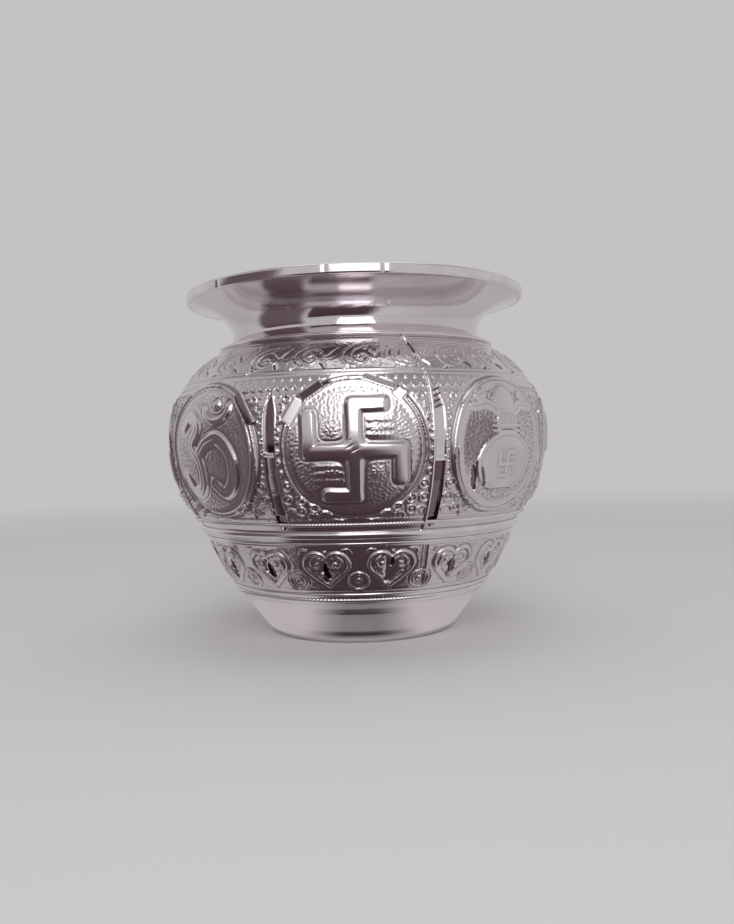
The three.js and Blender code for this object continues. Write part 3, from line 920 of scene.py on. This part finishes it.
def chased_grid(name, wall, start, end, spacing, chase):
    """A flat grid with the relief chased at its corners, and its rows and columns of corners."""
    columns = round((end - start) * float(wall.radii.max()) / spacing)
    rows = round(wall.length / spacing)
    piece = new_grid(name, columns, rows)
    flat = coordinates(piece)
    angles = start + (flat[:, 0] + 0.5) * (end - start)
    relief = Relief(wall, angles, (flat[:, 1] + 0.5) * wall.length)
    chase(relief)
    return piece, relief, (rows + 1, columns + 1)


def wrap_grid(piece, wall, relief, distance):
    """Wraps a flat grid round the pot, at a distance from its wall."""
    radii, heights = wall.offset(relief.places, distance)
    place_vertices(piece, on_pot(relief.angles, radii, heights))


def chased_panel(name, wall, start, end, chase):
    """A piece of chased sheet: its outside as a fine grid, its inside as a coarser, softer one."""
    outer, relief, shape = chased_grid(name, wall, start, end, SPACING, chase)
    wrap_grid(outer, wall, relief, relief.height)
    surface = relief.height.reshape(shape)
    wide = blur(surface, max(1, round(0.45 / SPACING)))
    recess = np.clip((wide - surface) / 0.16, 0, 1)
    for title, values in (("recess", recess.ravel()), ("cut", relief.cut), ("dark", relief.dark),
                          ("hatch", relief.hatch), ("grain", relief.grain)):
        store(outer, title, values)
    inner, relief, shape = chased_grid(name + "_inside", wall, start, end, INNER_SPACING, chase)
    reverse = blur(relief.height.reshape(shape), 1).ravel() * 0.85
    wrap_grid(inner, wall, relief, reverse - SHEET)
    in_edit_mode(inner, bpy.ops.mesh.flip_normals)
    select_only(outer, inner)
    bpy.ops.object.join()
    in_edit_mode(outer, open_edges, bpy.ops.mesh.bridge_edge_loops)
    select_only(outer)
    bpy.ops.object.shade_smooth_by_angle(angle=55 * DEG)
    return outer


def open_edges():
    bpy.ops.mesh.select_all(action="DESELECT")
    bpy.ops.mesh.select_mode(type="EDGE")
    bpy.ops.mesh.select_non_manifold(
        extend=False, use_wire=False, use_boundary=True, use_multi_face=False,
        use_non_contiguous=False, use_verts=False)


def spun(name, outline, steps, ripple=None):
    """A closed outline of radius and height, spun round the pot's axis."""
    outline = np.array(outline, float)
    bpy.ops.object.select_all(action="DESELECT")
    bpy.ops.mesh.primitive_circle_add(vertices=len(outline), radius=1, fill_type="NOTHING")
    piece = bpy.context.object
    piece.name = piece.data.name = name
    place_vertices(piece, on_pot(np.zeros(len(outline)), outline[:, 0], outline[:, 1]))
    in_edit_mode(
        piece,
        lambda: bpy.ops.mesh.spin(steps=steps, angle=TAU, center=(0, 0, 0), axis=(0, 0, 1)),
        lambda: bpy.ops.mesh.select_all(action="SELECT"),
        lambda: bpy.ops.mesh.remove_doubles(threshold=1e-7),
        lambda: bpy.ops.mesh.normals_make_consistent(inside=False),
    )
    if ripple:
        points = coordinates(piece) / MM
        angles = np.arctan2(points[:, 0], -points[:, 1])
        radii = np.hypot(points[:, 0], points[:, 1])
        place_vertices(piece, on_pot(angles, *ripple(angles, radii, points[:, 2])))
    select_only(piece)
    bpy.ops.object.shade_smooth_by_angle(angle=40 * DEG)
    return piece


# Pieces


def belly_panels():
    pitch = TAU / MEDALLIONS
    return [
        chased_panel(f"upper_body_{number}", UPPER, (number - 0.5) * pitch, (number + 0.5) * pitch,
                     chase_belly)
        for number in range(MEDALLIONS)
    ]


def frieze_panels():
    return [
        chased_panel(f"lower_body_{quarter}", LOWER, quarter * TAU / 4, (quarter + 1) * TAU / 4,
                     chase_frieze)
        for quarter in range(4)
    ]


def hand_waves(depth, seed):
    """Slight waves round a spun wall, as polishing by hand leaves them."""

    def ripple(angles, radii, heights):
        x = (angles + math.pi) * 30
        waves = lattice_noise(x, heights, 11, seed) + 0.4 * lattice_noise(x, heights, 5, seed + 1)
        moved = radii > 5
        return radii + depth * waves * moved, heights

    return ripple


def mouth_flare():
    places = np.linspace(0, MOUTH.length, 70)
    outside = np.column_stack(MOUTH.offset(places, 0))
    inside = np.column_stack(MOUTH.offset(places[::-1], -SHEET))
    return spun("flared_mouth", np.vstack([outside, inside]), 200, hand_waves(0.035, 31))


def foot_cup():
    slope = math.atan2(FOOT_TOP, FOOT_TOP_RADIUS - BASE_RADIUS)
    flat = BASE_RADIUS - BASE_CORNER * math.tan(slope / 2)
    corner = arc(flat, BASE_CORNER, BASE_CORNER, -math.pi / 2, slope - math.pi / 2, 10)
    start = corner[-1]
    t = np.linspace(0, 1, 26)[1:, None]
    cone = start + (np.array([FOOT_TOP_RADIUS, FOOT_TOP]) - start) * t
    lift = SHEET / math.sin(slope)
    inner_foot = flat - SHEET * math.tan(slope / 2)
    inside = [(FOOT_TOP_RADIUS - lift, FOOT_TOP), (inner_foot + 0.5, SHEET + 0.6),
              (inner_foot, SHEET + 0.15), (inner_foot - 0.7, SHEET), (inner_foot * 0.5, SHEET),
              (0, SHEET)]
    floor = [(0, 0), (flat * 0.35, 0), (flat * 0.7, 0)]

    def ripple(angles, radii, heights):
        turned = 0.012 * np.sin(heights * 5.1) + 0.008 * np.sin(heights * 11.3 + 1)
        on_cone = smooth(1.2, 1.8, heights) * smooth(FOOT_TOP, FOOT_TOP - 0.6, heights)
        waves = lattice_noise((angles + math.pi) * 22, heights, 8, 41)
        return radii + (turned + 0.02 * waves) * on_cone, heights

    return spun("foot", np.vstack([floor, corner, cone, inside]), 180, ripple)


# Small dents in the rim's edge: their angles and how deep they are
RIM_NICKS = np.array([-45, -7.4, 9.9, 78, 133, 207, 262]) * DEG
NICK_DEPTH = 0.1


def rim():
    edge = FLARE_EDGE + SOLDER
    inside = RIM_RADIUS - RIM_WIDTH
    under = float(MOUTH.heights[-1])
    ledge = float(MOUTH.offset(MOUTH.length, -SHEET)[1]) + SOLDER
    corner = RIM_RADIUS - RIM_ROUND
    outline = np.vstack([
        [(edge, under), (corner, under)],
        arc(corner, under + RIM_ROUND, RIM_ROUND, -math.pi / 2, 0, 6)[1:],
        arc(corner, RIM_TOP - RIM_ROUND, RIM_ROUND, 0, math.pi / 2, 8),
        arc(inside + RIM_ROUND, RIM_TOP - RIM_ROUND, RIM_ROUND, math.pi / 2, math.pi, 8),
        [(inside, ledge), (edge, ledge)],
    ])

    def ripple(angles, radii, heights):
        outside = radii > RIM_RADIUS - 0.3
        moved = radii
        for nick in RIM_NICKS:
            away = np.abs(wrapped(angles - nick) * RIM_RADIUS)
            moved = moved - NICK_DEPTH * outside * smooth(0.5, 0.1, away)
        return moved, heights

    return spun("rim", outline, 720, ripple)


# The collar's two round steps: middle, half width, half height, and where the round starts and ends
COLLAR_STEPS = ((28.52, 58.58, 0.36, 0.34, -0.5, 1.9), (27.98, 58.98, 0.3, 0.22, -0.2, 2.4))


def collar():
    """Two round steps over the joint of neck and shoulder."""
    shoulder = UPPER.offset(float(UPPER.place(SHOULDER_TOP - 0.35)), SOLDER)
    outline = np.vstack([
        [shoulder],
        *[ellipse(*step, 8) for step in COLLAR_STEPS],
        [MOUTH.offset(float(MOUTH.place(59.35)), SOLDER)],
        [MOUTH.offset(0.3, SOLDER)],
        [MOUTH.offset(0.0, SOLDER)],
    ])
    return spun("collar", outline, 240)


def round_wire(name, wall, height, width, thickness, steps, bumps, bump):
    """A wire soldered round a wall, flat on the wall, with bumps along it where it is milled."""
    place = float(wall.place(height))
    section = []
    for turn in np.linspace(0, math.pi, 7):
        at = place - math.cos(turn) * width / 2
        section.append(wall.offset(at, SOLDER + math.sin(turn) * thickness))
    base = wall.offset(place, SOLDER)[0]

    def ripple(angles, radii, heights):
        share = np.clip((radii - base) / thickness, 0, 1)
        return radii + bump * share * (0.5 + 0.5 * np.cos(angles * bumps) - 1), heights

    return spun(name, section, steps, ripple if bumps else None)


def joint_band():
    half, thick = 0.75, 0.62
    low = np.array(LOWER.offset(LOWER.length - half, SOLDER))
    high = np.array(UPPER.offset(half, SOLDER))
    along = (high - low) / np.hypot(*(high - low))
    out = np.array([along[1], -along[0]])
    middle = (low + high) / 2
    span = np.hypot(*(high - low)) / 2
    section = [
        middle - along * span * math.cos(turn) + out * thick * math.sin(turn)
        for turn in np.linspace(0, math.pi, 13)
    ]
    corner = [(JOINT_RADIUS + 2 * SOLDER, JOINT_HEIGHT)]

    def ripple(angles, radii, heights):
        share = np.clip((radii - JOINT_RADIUS - 0.2) / thick, 0, 1)
        patches = smooth(0.1, 0.4, lattice_noise((angles + math.pi) * 5, heights * 0, 1, 51))
        milling = 0.5 + 0.5 * np.cos(angles * 380)
        return radii - 0.03 * share * milling * patches, heights

    return spun("band", np.vstack([section, corner]), 1140, ripple)


# Materials


def feed(tree, node, inputs):
    """Gives a node its inputs: values or other nodes' outputs."""
    for key, value in inputs.items():
        if isinstance(value, bpy.types.NodeSocket):
            tree.links.new(value, node.inputs[key])
        else:
            node.inputs[key].default_value = value


def add(tree, kind, inputs=None, **settings):
    node = tree.nodes.new(kind)
    for key, value in settings.items():
        setattr(node, key, value)
    feed(tree, node, inputs or {})
    return node


def math_node(tree, operation, *values, clamp=False):
    inputs = dict(enumerate(values))
    return add(tree, "ShaderNodeMath", inputs, operation=operation, use_clamp=clamp).outputs[0]


def times(tree, first, second, clamp=False):
    return math_node(tree, "MULTIPLY", first, second, clamp=clamp)


def attribute(tree, name):
    return add(tree, "ShaderNodeAttribute", attribute_name=name).outputs["Fac"]


def mix_colour(tree, share, first, second):
    inputs = {0: share, 6: first, 7: second}
    return add(tree, "ShaderNodeMix", inputs, data_type="RGBA").outputs[2]


def ramp(tree, value, start, end, first, last):
    """A soft step of a value from one level to another."""
    return add(tree, "ShaderNodeMapRange", {
        "Value": value, "From Min": start, "From Max": end, "To Min": first, "To Max": last},
        interpolation_type="SMOOTHSTEP").outputs[0]


def place_parts(tree):
    """The object's own X, Y and Z at each point."""
    place = add(tree, "ShaderNodeTexCoord").outputs["Object"]
    return add(tree, "ShaderNodeSeparateXYZ", {"Vector": place})


def radius_of(tree, parts):
    """Distance from the pot's axis."""
    across = math_node(tree, "POWER", parts.outputs["X"], 2.0)
    deep = math_node(tree, "POWER", parts.outputs["Y"], 2.0)
    return math_node(tree, "SQRT", math_node(tree, "ADD", across, deep))


def new_group(name, inputs, output):
    """A shared group with one output; an input without a value takes a place."""
    tree = bpy.data.node_groups.new(name, "ShaderNodeTree")
    for title, value in inputs.items():
        kind = "NodeSocketVector" if value is None else "NodeSocketFloat"
        socket = tree.interface.new_socket(title, in_out="INPUT", socket_type=kind)
        if value is not None:
            socket.default_value = value
    tree.interface.new_socket(output, in_out="OUTPUT", socket_type="NodeSocketFloat")
    return tree, tree.nodes.new("NodeGroupInput"), tree.nodes.new("NodeGroupOutput")


def fine_scratches():
    """Short hair scratches in three directions, with how much each place has of them."""
    tree, source, result = new_group("fine_scratches", {"Vector": None, "Amount": 1.0}, "Height")
    total = None
    for turn, stretch in ((0.4, (160, 3400, 900)), (1.3, (3600, 170, 900)), (2.2, (900, 200, 3600))):
        mapping = add(tree, "ShaderNodeMapping", {
            "Vector": source.outputs["Vector"], "Rotation": (turn, turn * 0.7, turn * 1.9),
            "Scale": stretch})
        noise = add(tree, "ShaderNodeTexNoise", {
            "Vector": mapping.outputs[0], "Scale": 1.0, "Detail": 1.0, "Roughness": 0.5})
        line = math_node(tree, "SUBTRACT", noise.outputs["Fac"], 0.62)
        line = times(tree, line, 9.0, clamp=True)
        total = line if total is None else math_node(tree, "MAXIMUM", total, line)
    feed(tree, result, {"Height": times(tree, total, source.outputs["Amount"])})
    return tree


def handling_marks():
    """Broad soft patches where the polish is duller."""
    tree, source, result = new_group("handling_marks", {"Vector": None, "Size": 0.012}, "Mask")
    scale = math_node(tree, "DIVIDE", 1.0, source.outputs["Size"])
    noise = add(tree, "ShaderNodeTexNoise", {
        "Vector": source.outputs["Vector"], "Scale": scale, "Detail": 4.0, "Roughness": 0.55})
    mask = add(tree, "ShaderNodeMapRange", {
        "Value": noise.outputs["Fac"], "From Min": 0.42, "From Max": 0.68})
    feed(tree, result, {"Mask": mask.outputs[0]})
    return tree


def hammered_grain():
    """The frosted surface that a fine punch leaves."""
    tree, source, result = new_group("punched_grain", {"Vector": None, "Pitch": 0.0003}, "Height")
    scale = math_node(tree, "DIVIDE", 1.0, source.outputs["Pitch"])
    cells = add(tree, "ShaderNodeTexVoronoi", {
        "Vector": source.outputs["Vector"], "Scale": scale}, feature="F1")
    feed(tree, result, {"Height": times(tree, cells.outputs["Distance"], 1.0, clamp=True)})
    return tree


GROUPS = {"scratches": fine_scratches(), "marks": handling_marks(), "grain": hammered_grain()}


def use(tree, name, **inputs):
    """What one of the shared groups gives."""
    return add(tree, "ShaderNodeGroup", inputs, node_tree=GROUPS[name]).outputs[0]


def new_metal(name, colour):
    material = bpy.data.materials.new(name)
    material.use_nodes = True
    tree = material.node_tree
    shader = tree.nodes["Principled BSDF"]
    feed(tree, shader, {"Metallic": 1.0})
    material.diffuse_color = colour
    place = add(tree, "ShaderNodeTexCoord").outputs["Object"]
    return material, tree, shader, place


def join_bumps(tree, shader, *bumps):
    """Feeds the shader's normal with several bumps, each a height, a strength and a depth."""
    normal = {}
    for height, strength, depth in bumps:
        inputs = {"Height": height, "Strength": strength, "Distance": depth, **normal}
        normal = {"Normal": add(tree, "ShaderNodeBump", inputs).outputs[0]}
    feed(tree, shader, normal)


SILVER = (0.80, 0.75, 0.775, 1)
BRIGHT_SILVER = (0.855, 0.82, 0.845, 1)
TARNISH = (0.20, 0.15, 0.17, 1)
WARM_FILM = (0.66, 0.60, 0.63, 1)
# Colour of the painted dark reflection in cuts and facets, of the painted shade on the pot figure's
# ground, and of the frieze's seam strip
PAINTED_DARK_AND_SEAM = (0.1, 0.036, 0.046, 1)


def chased_silver():
    material, tree, shader, place = new_metal("chased_silver", SILVER)
    recess, cut = attribute(tree, "recess"), attribute(tree, "cut")
    grain, hatch = attribute(tree, "grain"), attribute(tree, "hatch")
    marks = use(tree, "marks", Vector=place, Size=0.011)
    film = mix_colour(tree, times(tree, marks, 0.5), SILVER, WARM_FILM)
    dark = times(tree, recess, 0.75)
    colour = mix_colour(tree, dark, film, TARNISH)
    colour = mix_colour(tree, cut, colour, BRIGHT_SILVER)
    # Mixes in the painted dark reflection and painted shade, and the seam strip's dark
    colour = mix_colour(tree, attribute(tree, "dark"), colour, PAINTED_DARK_AND_SEAM)
    rough = math_node(tree, "MULTIPLY_ADD", grain, 0.1, 0.17)
    rough = math_node(tree, "MULTIPLY_ADD", marks, 0.06, rough)
    rough = math_node(tree, "MULTIPLY_ADD", recess, 0.2, rough)
    bright = math_node(tree, "SUBTRACT", 1.0, cut, clamp=True)
    rough = math_node(tree, "MULTIPLY_ADD", rough, bright, times(tree, cut, 0.09))
    feed(tree, shader, {"Base Color": colour, "Roughness": rough})
    scratches = use(tree, "scratches", Vector=place, Amount=0.6)
    cells = use(tree, "grain", Vector=place, Pitch=0.00034)
    cells = times(tree, cells, times(tree, grain, bright))
    lines = times(tree, hatch, TAU)
    lines = times(tree, math_node(tree, "SINE", lines), cut)
    join_bumps(tree, shader, (cells, 0.4, 0.00005), (lines, 0.22, 0.00002),
               (scratches, 0.15, 0.00001))
    return material


def plain_face(tree, shader, place, colour, size, film, rough):
    """A plain metal face with patches of a warm, duller film."""
    marks = use(tree, "marks", Vector=place, Size=size)
    colour = mix_colour(tree, times(tree, marks, film), colour, WARM_FILM)
    rough = math_node(tree, "MULTIPLY_ADD", marks, *rough)
    feed(tree, shader, {"Base Color": colour, "Roughness": rough})


def polished_silver():
    material, tree, shader, place = new_metal("polished_silver", SILVER)
    plain_face(tree, shader, place, SILVER, 0.016, 0.4, (0.07, 0.08))
    lines = turning_lines(tree)
    scratches = use(tree, "scratches", Vector=place, Amount=1.0)
    join_bumps(tree, shader, (lines, 0.22, 0.00002), (scratches, 0.25, 0.00001))
    return material


def turning_lines(tree):
    """Fine lines round the axis, left by the spinning and the polishing wheel."""
    parts = place_parts(tree)
    height = math_node(tree, "MULTIPLY_ADD", parts.outputs["Z"], 0.8, radius_of(tree, parts))
    point = add(tree, "ShaderNodeCombineXYZ", {"X": height})
    noise = add(tree, "ShaderNodeTexNoise", {
        "Vector": point.outputs[0], "Scale": 2600.0, "Detail": 3.0, "Roughness": 0.7})
    return noise.outputs["Fac"]


def drawn_silver():
    material, tree, shader, place = new_metal("drawn_silver", BRIGHT_SILVER)
    plain_face(tree, shader, place, BRIGHT_SILVER, 0.007, 0.5, (0.08, 0.14))
    scratches = use(tree, "scratches", Vector=place, Amount=1.0)
    join_bumps(tree, shader, (scratches, 0.2, 0.00001))
    return material


# The scene round the pot

# Dark cards lie low in front and stand at the left. They show in the metal and nowhere else, as painted
# dark reflections.
# Each is a grid between a near and a far edge: place of its middle and its width there.
FRONT_CARD = ((-0.001, -0.027, 0.0008), 0.052, (-0.09, -0.26, 0.012), 0.38)
LEFT_CARD = ((-0.052, -0.026, 0.001), 0.06, (-0.227, -0.106, 0.15), 0.24)
LEFT_CARD_ACROSS = (0.42, -0.91, 0)
CARD_EDGE = 0.35  # part of a card's half width over which it fades
FRONT_CARD_COLOURS = ((0.13, 0.09, 0.1, 1), (0.085, 0.036, 0.043, 1))
LEFT_CARD_COLOURS = ((0.26, 0.21, 0.22, 1), (0.13, 0.075, 0.083, 1))


def put_on_stage(piece, name):
    """Gives a piece round the pot a plain matt material."""
    material = bpy.data.materials.new(name)
    material.use_nodes = True
    tree = material.node_tree
    shader = tree.nodes["Principled BSDF"]
    feed(tree, shader, {"Roughness": 0.8, "Specular IOR Level": 0.0})
    piece.data.materials.append(material)
    return tree, shader


FLOOR_COLOUR = (0.86, 0.85, 0.855, 1)
BACKGROUND = (0.55, 0.54, 0.545, 1)
BLACK = (0, 0, 0, 1)
FLOOR_FADE = (0.08, 0.6)  # how far from the axis the floor starts and ends to fade


def floor():
    """A wide pale floor that runs into the pale background."""
    tree, shader = put_on_stage(new_grid("floor", 8, 8, size=3), "pale_floor")
    far = ramp(tree, radius_of(tree, place_parts(tree)), *FLOOR_FADE, 0.0, 1.0)
    path = add(tree, "ShaderNodeLightPath")
    seen = math_node(tree, "MAXIMUM", path.outputs["Is Camera Ray"], path.outputs["Is Glossy Ray"])
    seen = math_node(tree, "MAXIMUM", seen, path.outputs["Is Transmission Ray"])
    fade = times(tree, far, seen)
    colour = mix_colour(tree, fade, FLOOR_COLOUR, BLACK)
    glow = mix_colour(tree, fade, BLACK, BACKGROUND)
    feed(tree, shader, {"Base Color": colour, "Emission Color": glow, "Emission Strength": 1.0})


def dark_card(name, near, near_width, far, far_width, across, colours):
    """A flat card from one edge to the other, dark in its middle and pale at its sides."""
    piece = new_grid(name, 24, 24)
    flat = coordinates(piece)
    share = (flat[:, 1] + 0.5)[:, None]
    middle = np.array(near) * (1 - share) + np.array(far) * share
    width = near_width * (1 - share) + far_width * share
    place_vertices(piece, middle + np.array(across) * width * flat[:, :1])
    store(piece, "fade", smooth(1 - CARD_EDGE, 1, 2 * np.abs(flat[:, 0])))
    store(piece, "share", flat[:, 1] + 0.5)
    hide_from_view(piece)
    tree, shader = put_on_stage(piece, name)
    dark = mix_colour(tree, attribute(tree, "share"), *colours)
    feed(tree, shader, {
        "Base Color": mix_colour(tree, attribute(tree, "fade"), dark, FLOOR_COLOUR)})


def hide_from_view(piece):
    piece.visible_camera = False
    piece.visible_diffuse = False
    piece.visible_shadow = False


# Painted shade that only the foot's cone shows, dark streaks on a piece over the floor: radius, half
# width and how dark
FOOT_STREAKS = (
    (0.0206, 0.0013, 0.95),
    (0.0222, 0.0005, 0.5),
    (0.0232, 0.0004, 0.6),
    (0.0247, 0.0014, 1.0),
)
STREAK_COLOUR = (0.02, 0.015, 0.018, 1)
SHADE_START = 19.8  # where the shade's ring begins, how wide it is and its height, in millimetres
SHADE_WIDTH = 22
SHADE_HEIGHT = 0.3
SHADE_DARK = 0.55
FOOT_BOUNCE = 0.22  # painted glow that stands in for the light the pale floor close to the foot throws back into the cone


def foot_shade():
    """The floor close to the foot, with painted shade that only the foot's cone shows: a darker patch in
    front with dark streaks, and a painted glow near the foot.
    """
    piece = new_grid("foot_shade", 90, 24)
    flat = coordinates(piece)
    share = flat[:, 1] + 0.5
    radii = SHADE_START + SHADE_WIDTH * share
    heights = np.full(radii.shape, SHADE_HEIGHT)
    place_vertices(piece, on_pot(flat[:, 0] * TAU, radii, heights))
    store(piece, "bounce", smooth(1, 0.2, share))
    hide_from_view(piece)
    tree, shader = put_on_stage(piece, "foot_shade")
    parts = place_parts(tree)
    side = math_node(tree, "ABSOLUTE", parts.outputs["X"])
    middle = ramp(tree, side, 0.003, 0.0145, 1.0, 0.0)
    in_front = math_node(tree, "LESS_THAN", parts.outputs["Y"], 0.0)
    middle = times(tree, middle, in_front)
    radius = radius_of(tree, parts)
    dark = SHADE_DARK
    for streak, half, strength in FOOT_STREAKS:
        away = math_node(tree, "ABSOLUTE", math_node(tree, "SUBTRACT", radius, streak))
        dark = math_node(tree, "MAXIMUM", ramp(tree, away, 0.0, half, strength, 0.0), dark)
    dark = times(tree, dark, middle)
    colour = mix_colour(tree, dark, FLOOR_COLOUR, STREAK_COLOUR)
    glow = mix_colour(tree, attribute(tree, "bounce"), BLACK, colour)
    feed(tree, shader, {
        "Base Color": colour, "Emission Color": glow, "Emission Strength": FOOT_BOUNCE})


def stand(name, data, matrix):
    piece = bpy.data.objects.new(name, data)
    bpy.context.scene.collection.objects.link(piece)
    piece.matrix_world = matrix
    return piece


# Lamps: name, glow, width and height, and place; both face the belly's middle
LAMPS = (
    ("key", 1.6, (0.2, 0.38), (0.012, -0.345, 0.222)),
    ("top", 0.8, (0.34, 0.36), (0, 0.04, 0.45)),
)
LAMP_AIM = Vector((0, 0, 0.045))


def lamp(name, glow, size, place):
    """A soft box of an even glow."""
    data = bpy.data.lights.new(name, "AREA")
    data.shape = "RECTANGLE"
    data.size, data.size_y = size
    data.energy = glow * math.pi * size[0] * size[1]
    turn = (LAMP_AIM - Vector(place)).to_track_quat("-Z", "Y").to_matrix().to_4x4()
    stand(name, data, Matrix.Translation(place) @ turn)


OVERHEAD = 0.45  # the room's brightness overhead, as a part of that of its walls


def room():
    """A plain room with pale walls, darker overhead."""
    world = bpy.data.worlds.new("room")
    world.use_nodes = True
    tree = world.node_tree
    way = add(tree, "ShaderNodeTexCoord").outputs["Generated"]
    rise = add(tree, "ShaderNodeSeparateXYZ", {"Vector": way}).outputs["Z"]
    level = ramp(tree, rise, 0.5, 0.95, 1.0, OVERHEAD)
    feed(tree, tree.nodes["Background"], {"Color": mix_colour(tree, level, BLACK, BACKGROUND)})
    bpy.context.scene.world = world


# The photograph's view: eye distance and height in metres, and the small turns of the camera
EYE_DISTANCE = 0.189
EYE_HEIGHT = 0.0373
EYE_SIDE = 1.0 * DEG
LOOK_RIGHT = 0.54 * DEG
LOOK_DOWN = 0.79 * DEG
ROLL = 1.5 * DEG
LENS = 34.3  # with a picture 36 mm tall


def camera():
    data = bpy.data.cameras.new("camera")
    data.sensor_fit = "VERTICAL"
    data.sensor_height = 36
    data.lens = LENS
    data.clip_start = 0.01
    turn = Matrix.Rotation(EYE_SIDE - LOOK_RIGHT, 4, "Z")
    turn = turn @ Matrix.Rotation(math.pi / 2 - LOOK_DOWN, 4, "X")
    place = (EYE_DISTANCE * math.sin(EYE_SIDE), -EYE_DISTANCE * math.cos(EYE_SIDE), EYE_HEIGHT)
    matrix = Matrix.Translation(place) @ turn @ Matrix.Rotation(-ROLL, 4, "Z")
    bpy.context.scene.camera = stand("camera", data, matrix)


def dress(piece, material, slot, *nodes):
    piece.data.materials.clear()
    piece.data.materials.append(material)
    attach(piece, "root")
    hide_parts(*nodes)


# Wires: node, name, wall, height, width, thickness, steps round the pot, and the number and
# height of the bumps along it
WIRES = (
    ("milled_wire", "milled", UPPER, 24.2, 0.7, 0.35, 1056, 352, 0.14),
    ("binding_wire", "plain_upper", LOWER, 20.6, 0.55, 0.25, 200, 0, 0.0),
    ("lower_fine_wire", "plain_lower", LOWER, 10.7, 0.5, 0.25, 200, 0, 0.0),
    ("bead_wire", "beaded", LOWER, 9.5, 0.8, 0.4, 900, 225, 0.16),
)


def build():
    chased, polished, drawn = chased_silver(), polished_silver(), drawn_silver()
    for panel in belly_panels():
        dress(panel, chased, "chased_silver", "upper_body")
    for panel in frieze_panels():
        dress(panel, chased, "chased_silver", "lower_body")
    dress(mouth_flare(), polished, "polished_silver", "mouth_flare")
    dress(foot_cup(), polished, "polished_silver", "foot_cup")
    dress(rim(), drawn, "drawn_silver", "rim_binding")
    dress(collar(), drawn, "drawn_silver", "neck_collar")
    dress(joint_band(), drawn, "drawn_silver", "joint_band")
    for node, *shape in WIRES:
        dress(round_wire(*shape), drawn, "drawn_silver", node)


build()
floor()
dark_card("front_card", *FRONT_CARD, across=(1, 0, 0), colours=FRONT_CARD_COLOURS)
dark_card("left_card", *LEFT_CARD, across=LEFT_CARD_ACROSS, colours=LEFT_CARD_COLOURS)
foot_shade()
for each in LAMPS:
    lamp(*each)
room()
camera()
bpy.context.scene.view_settings.view_transform = "Standard"
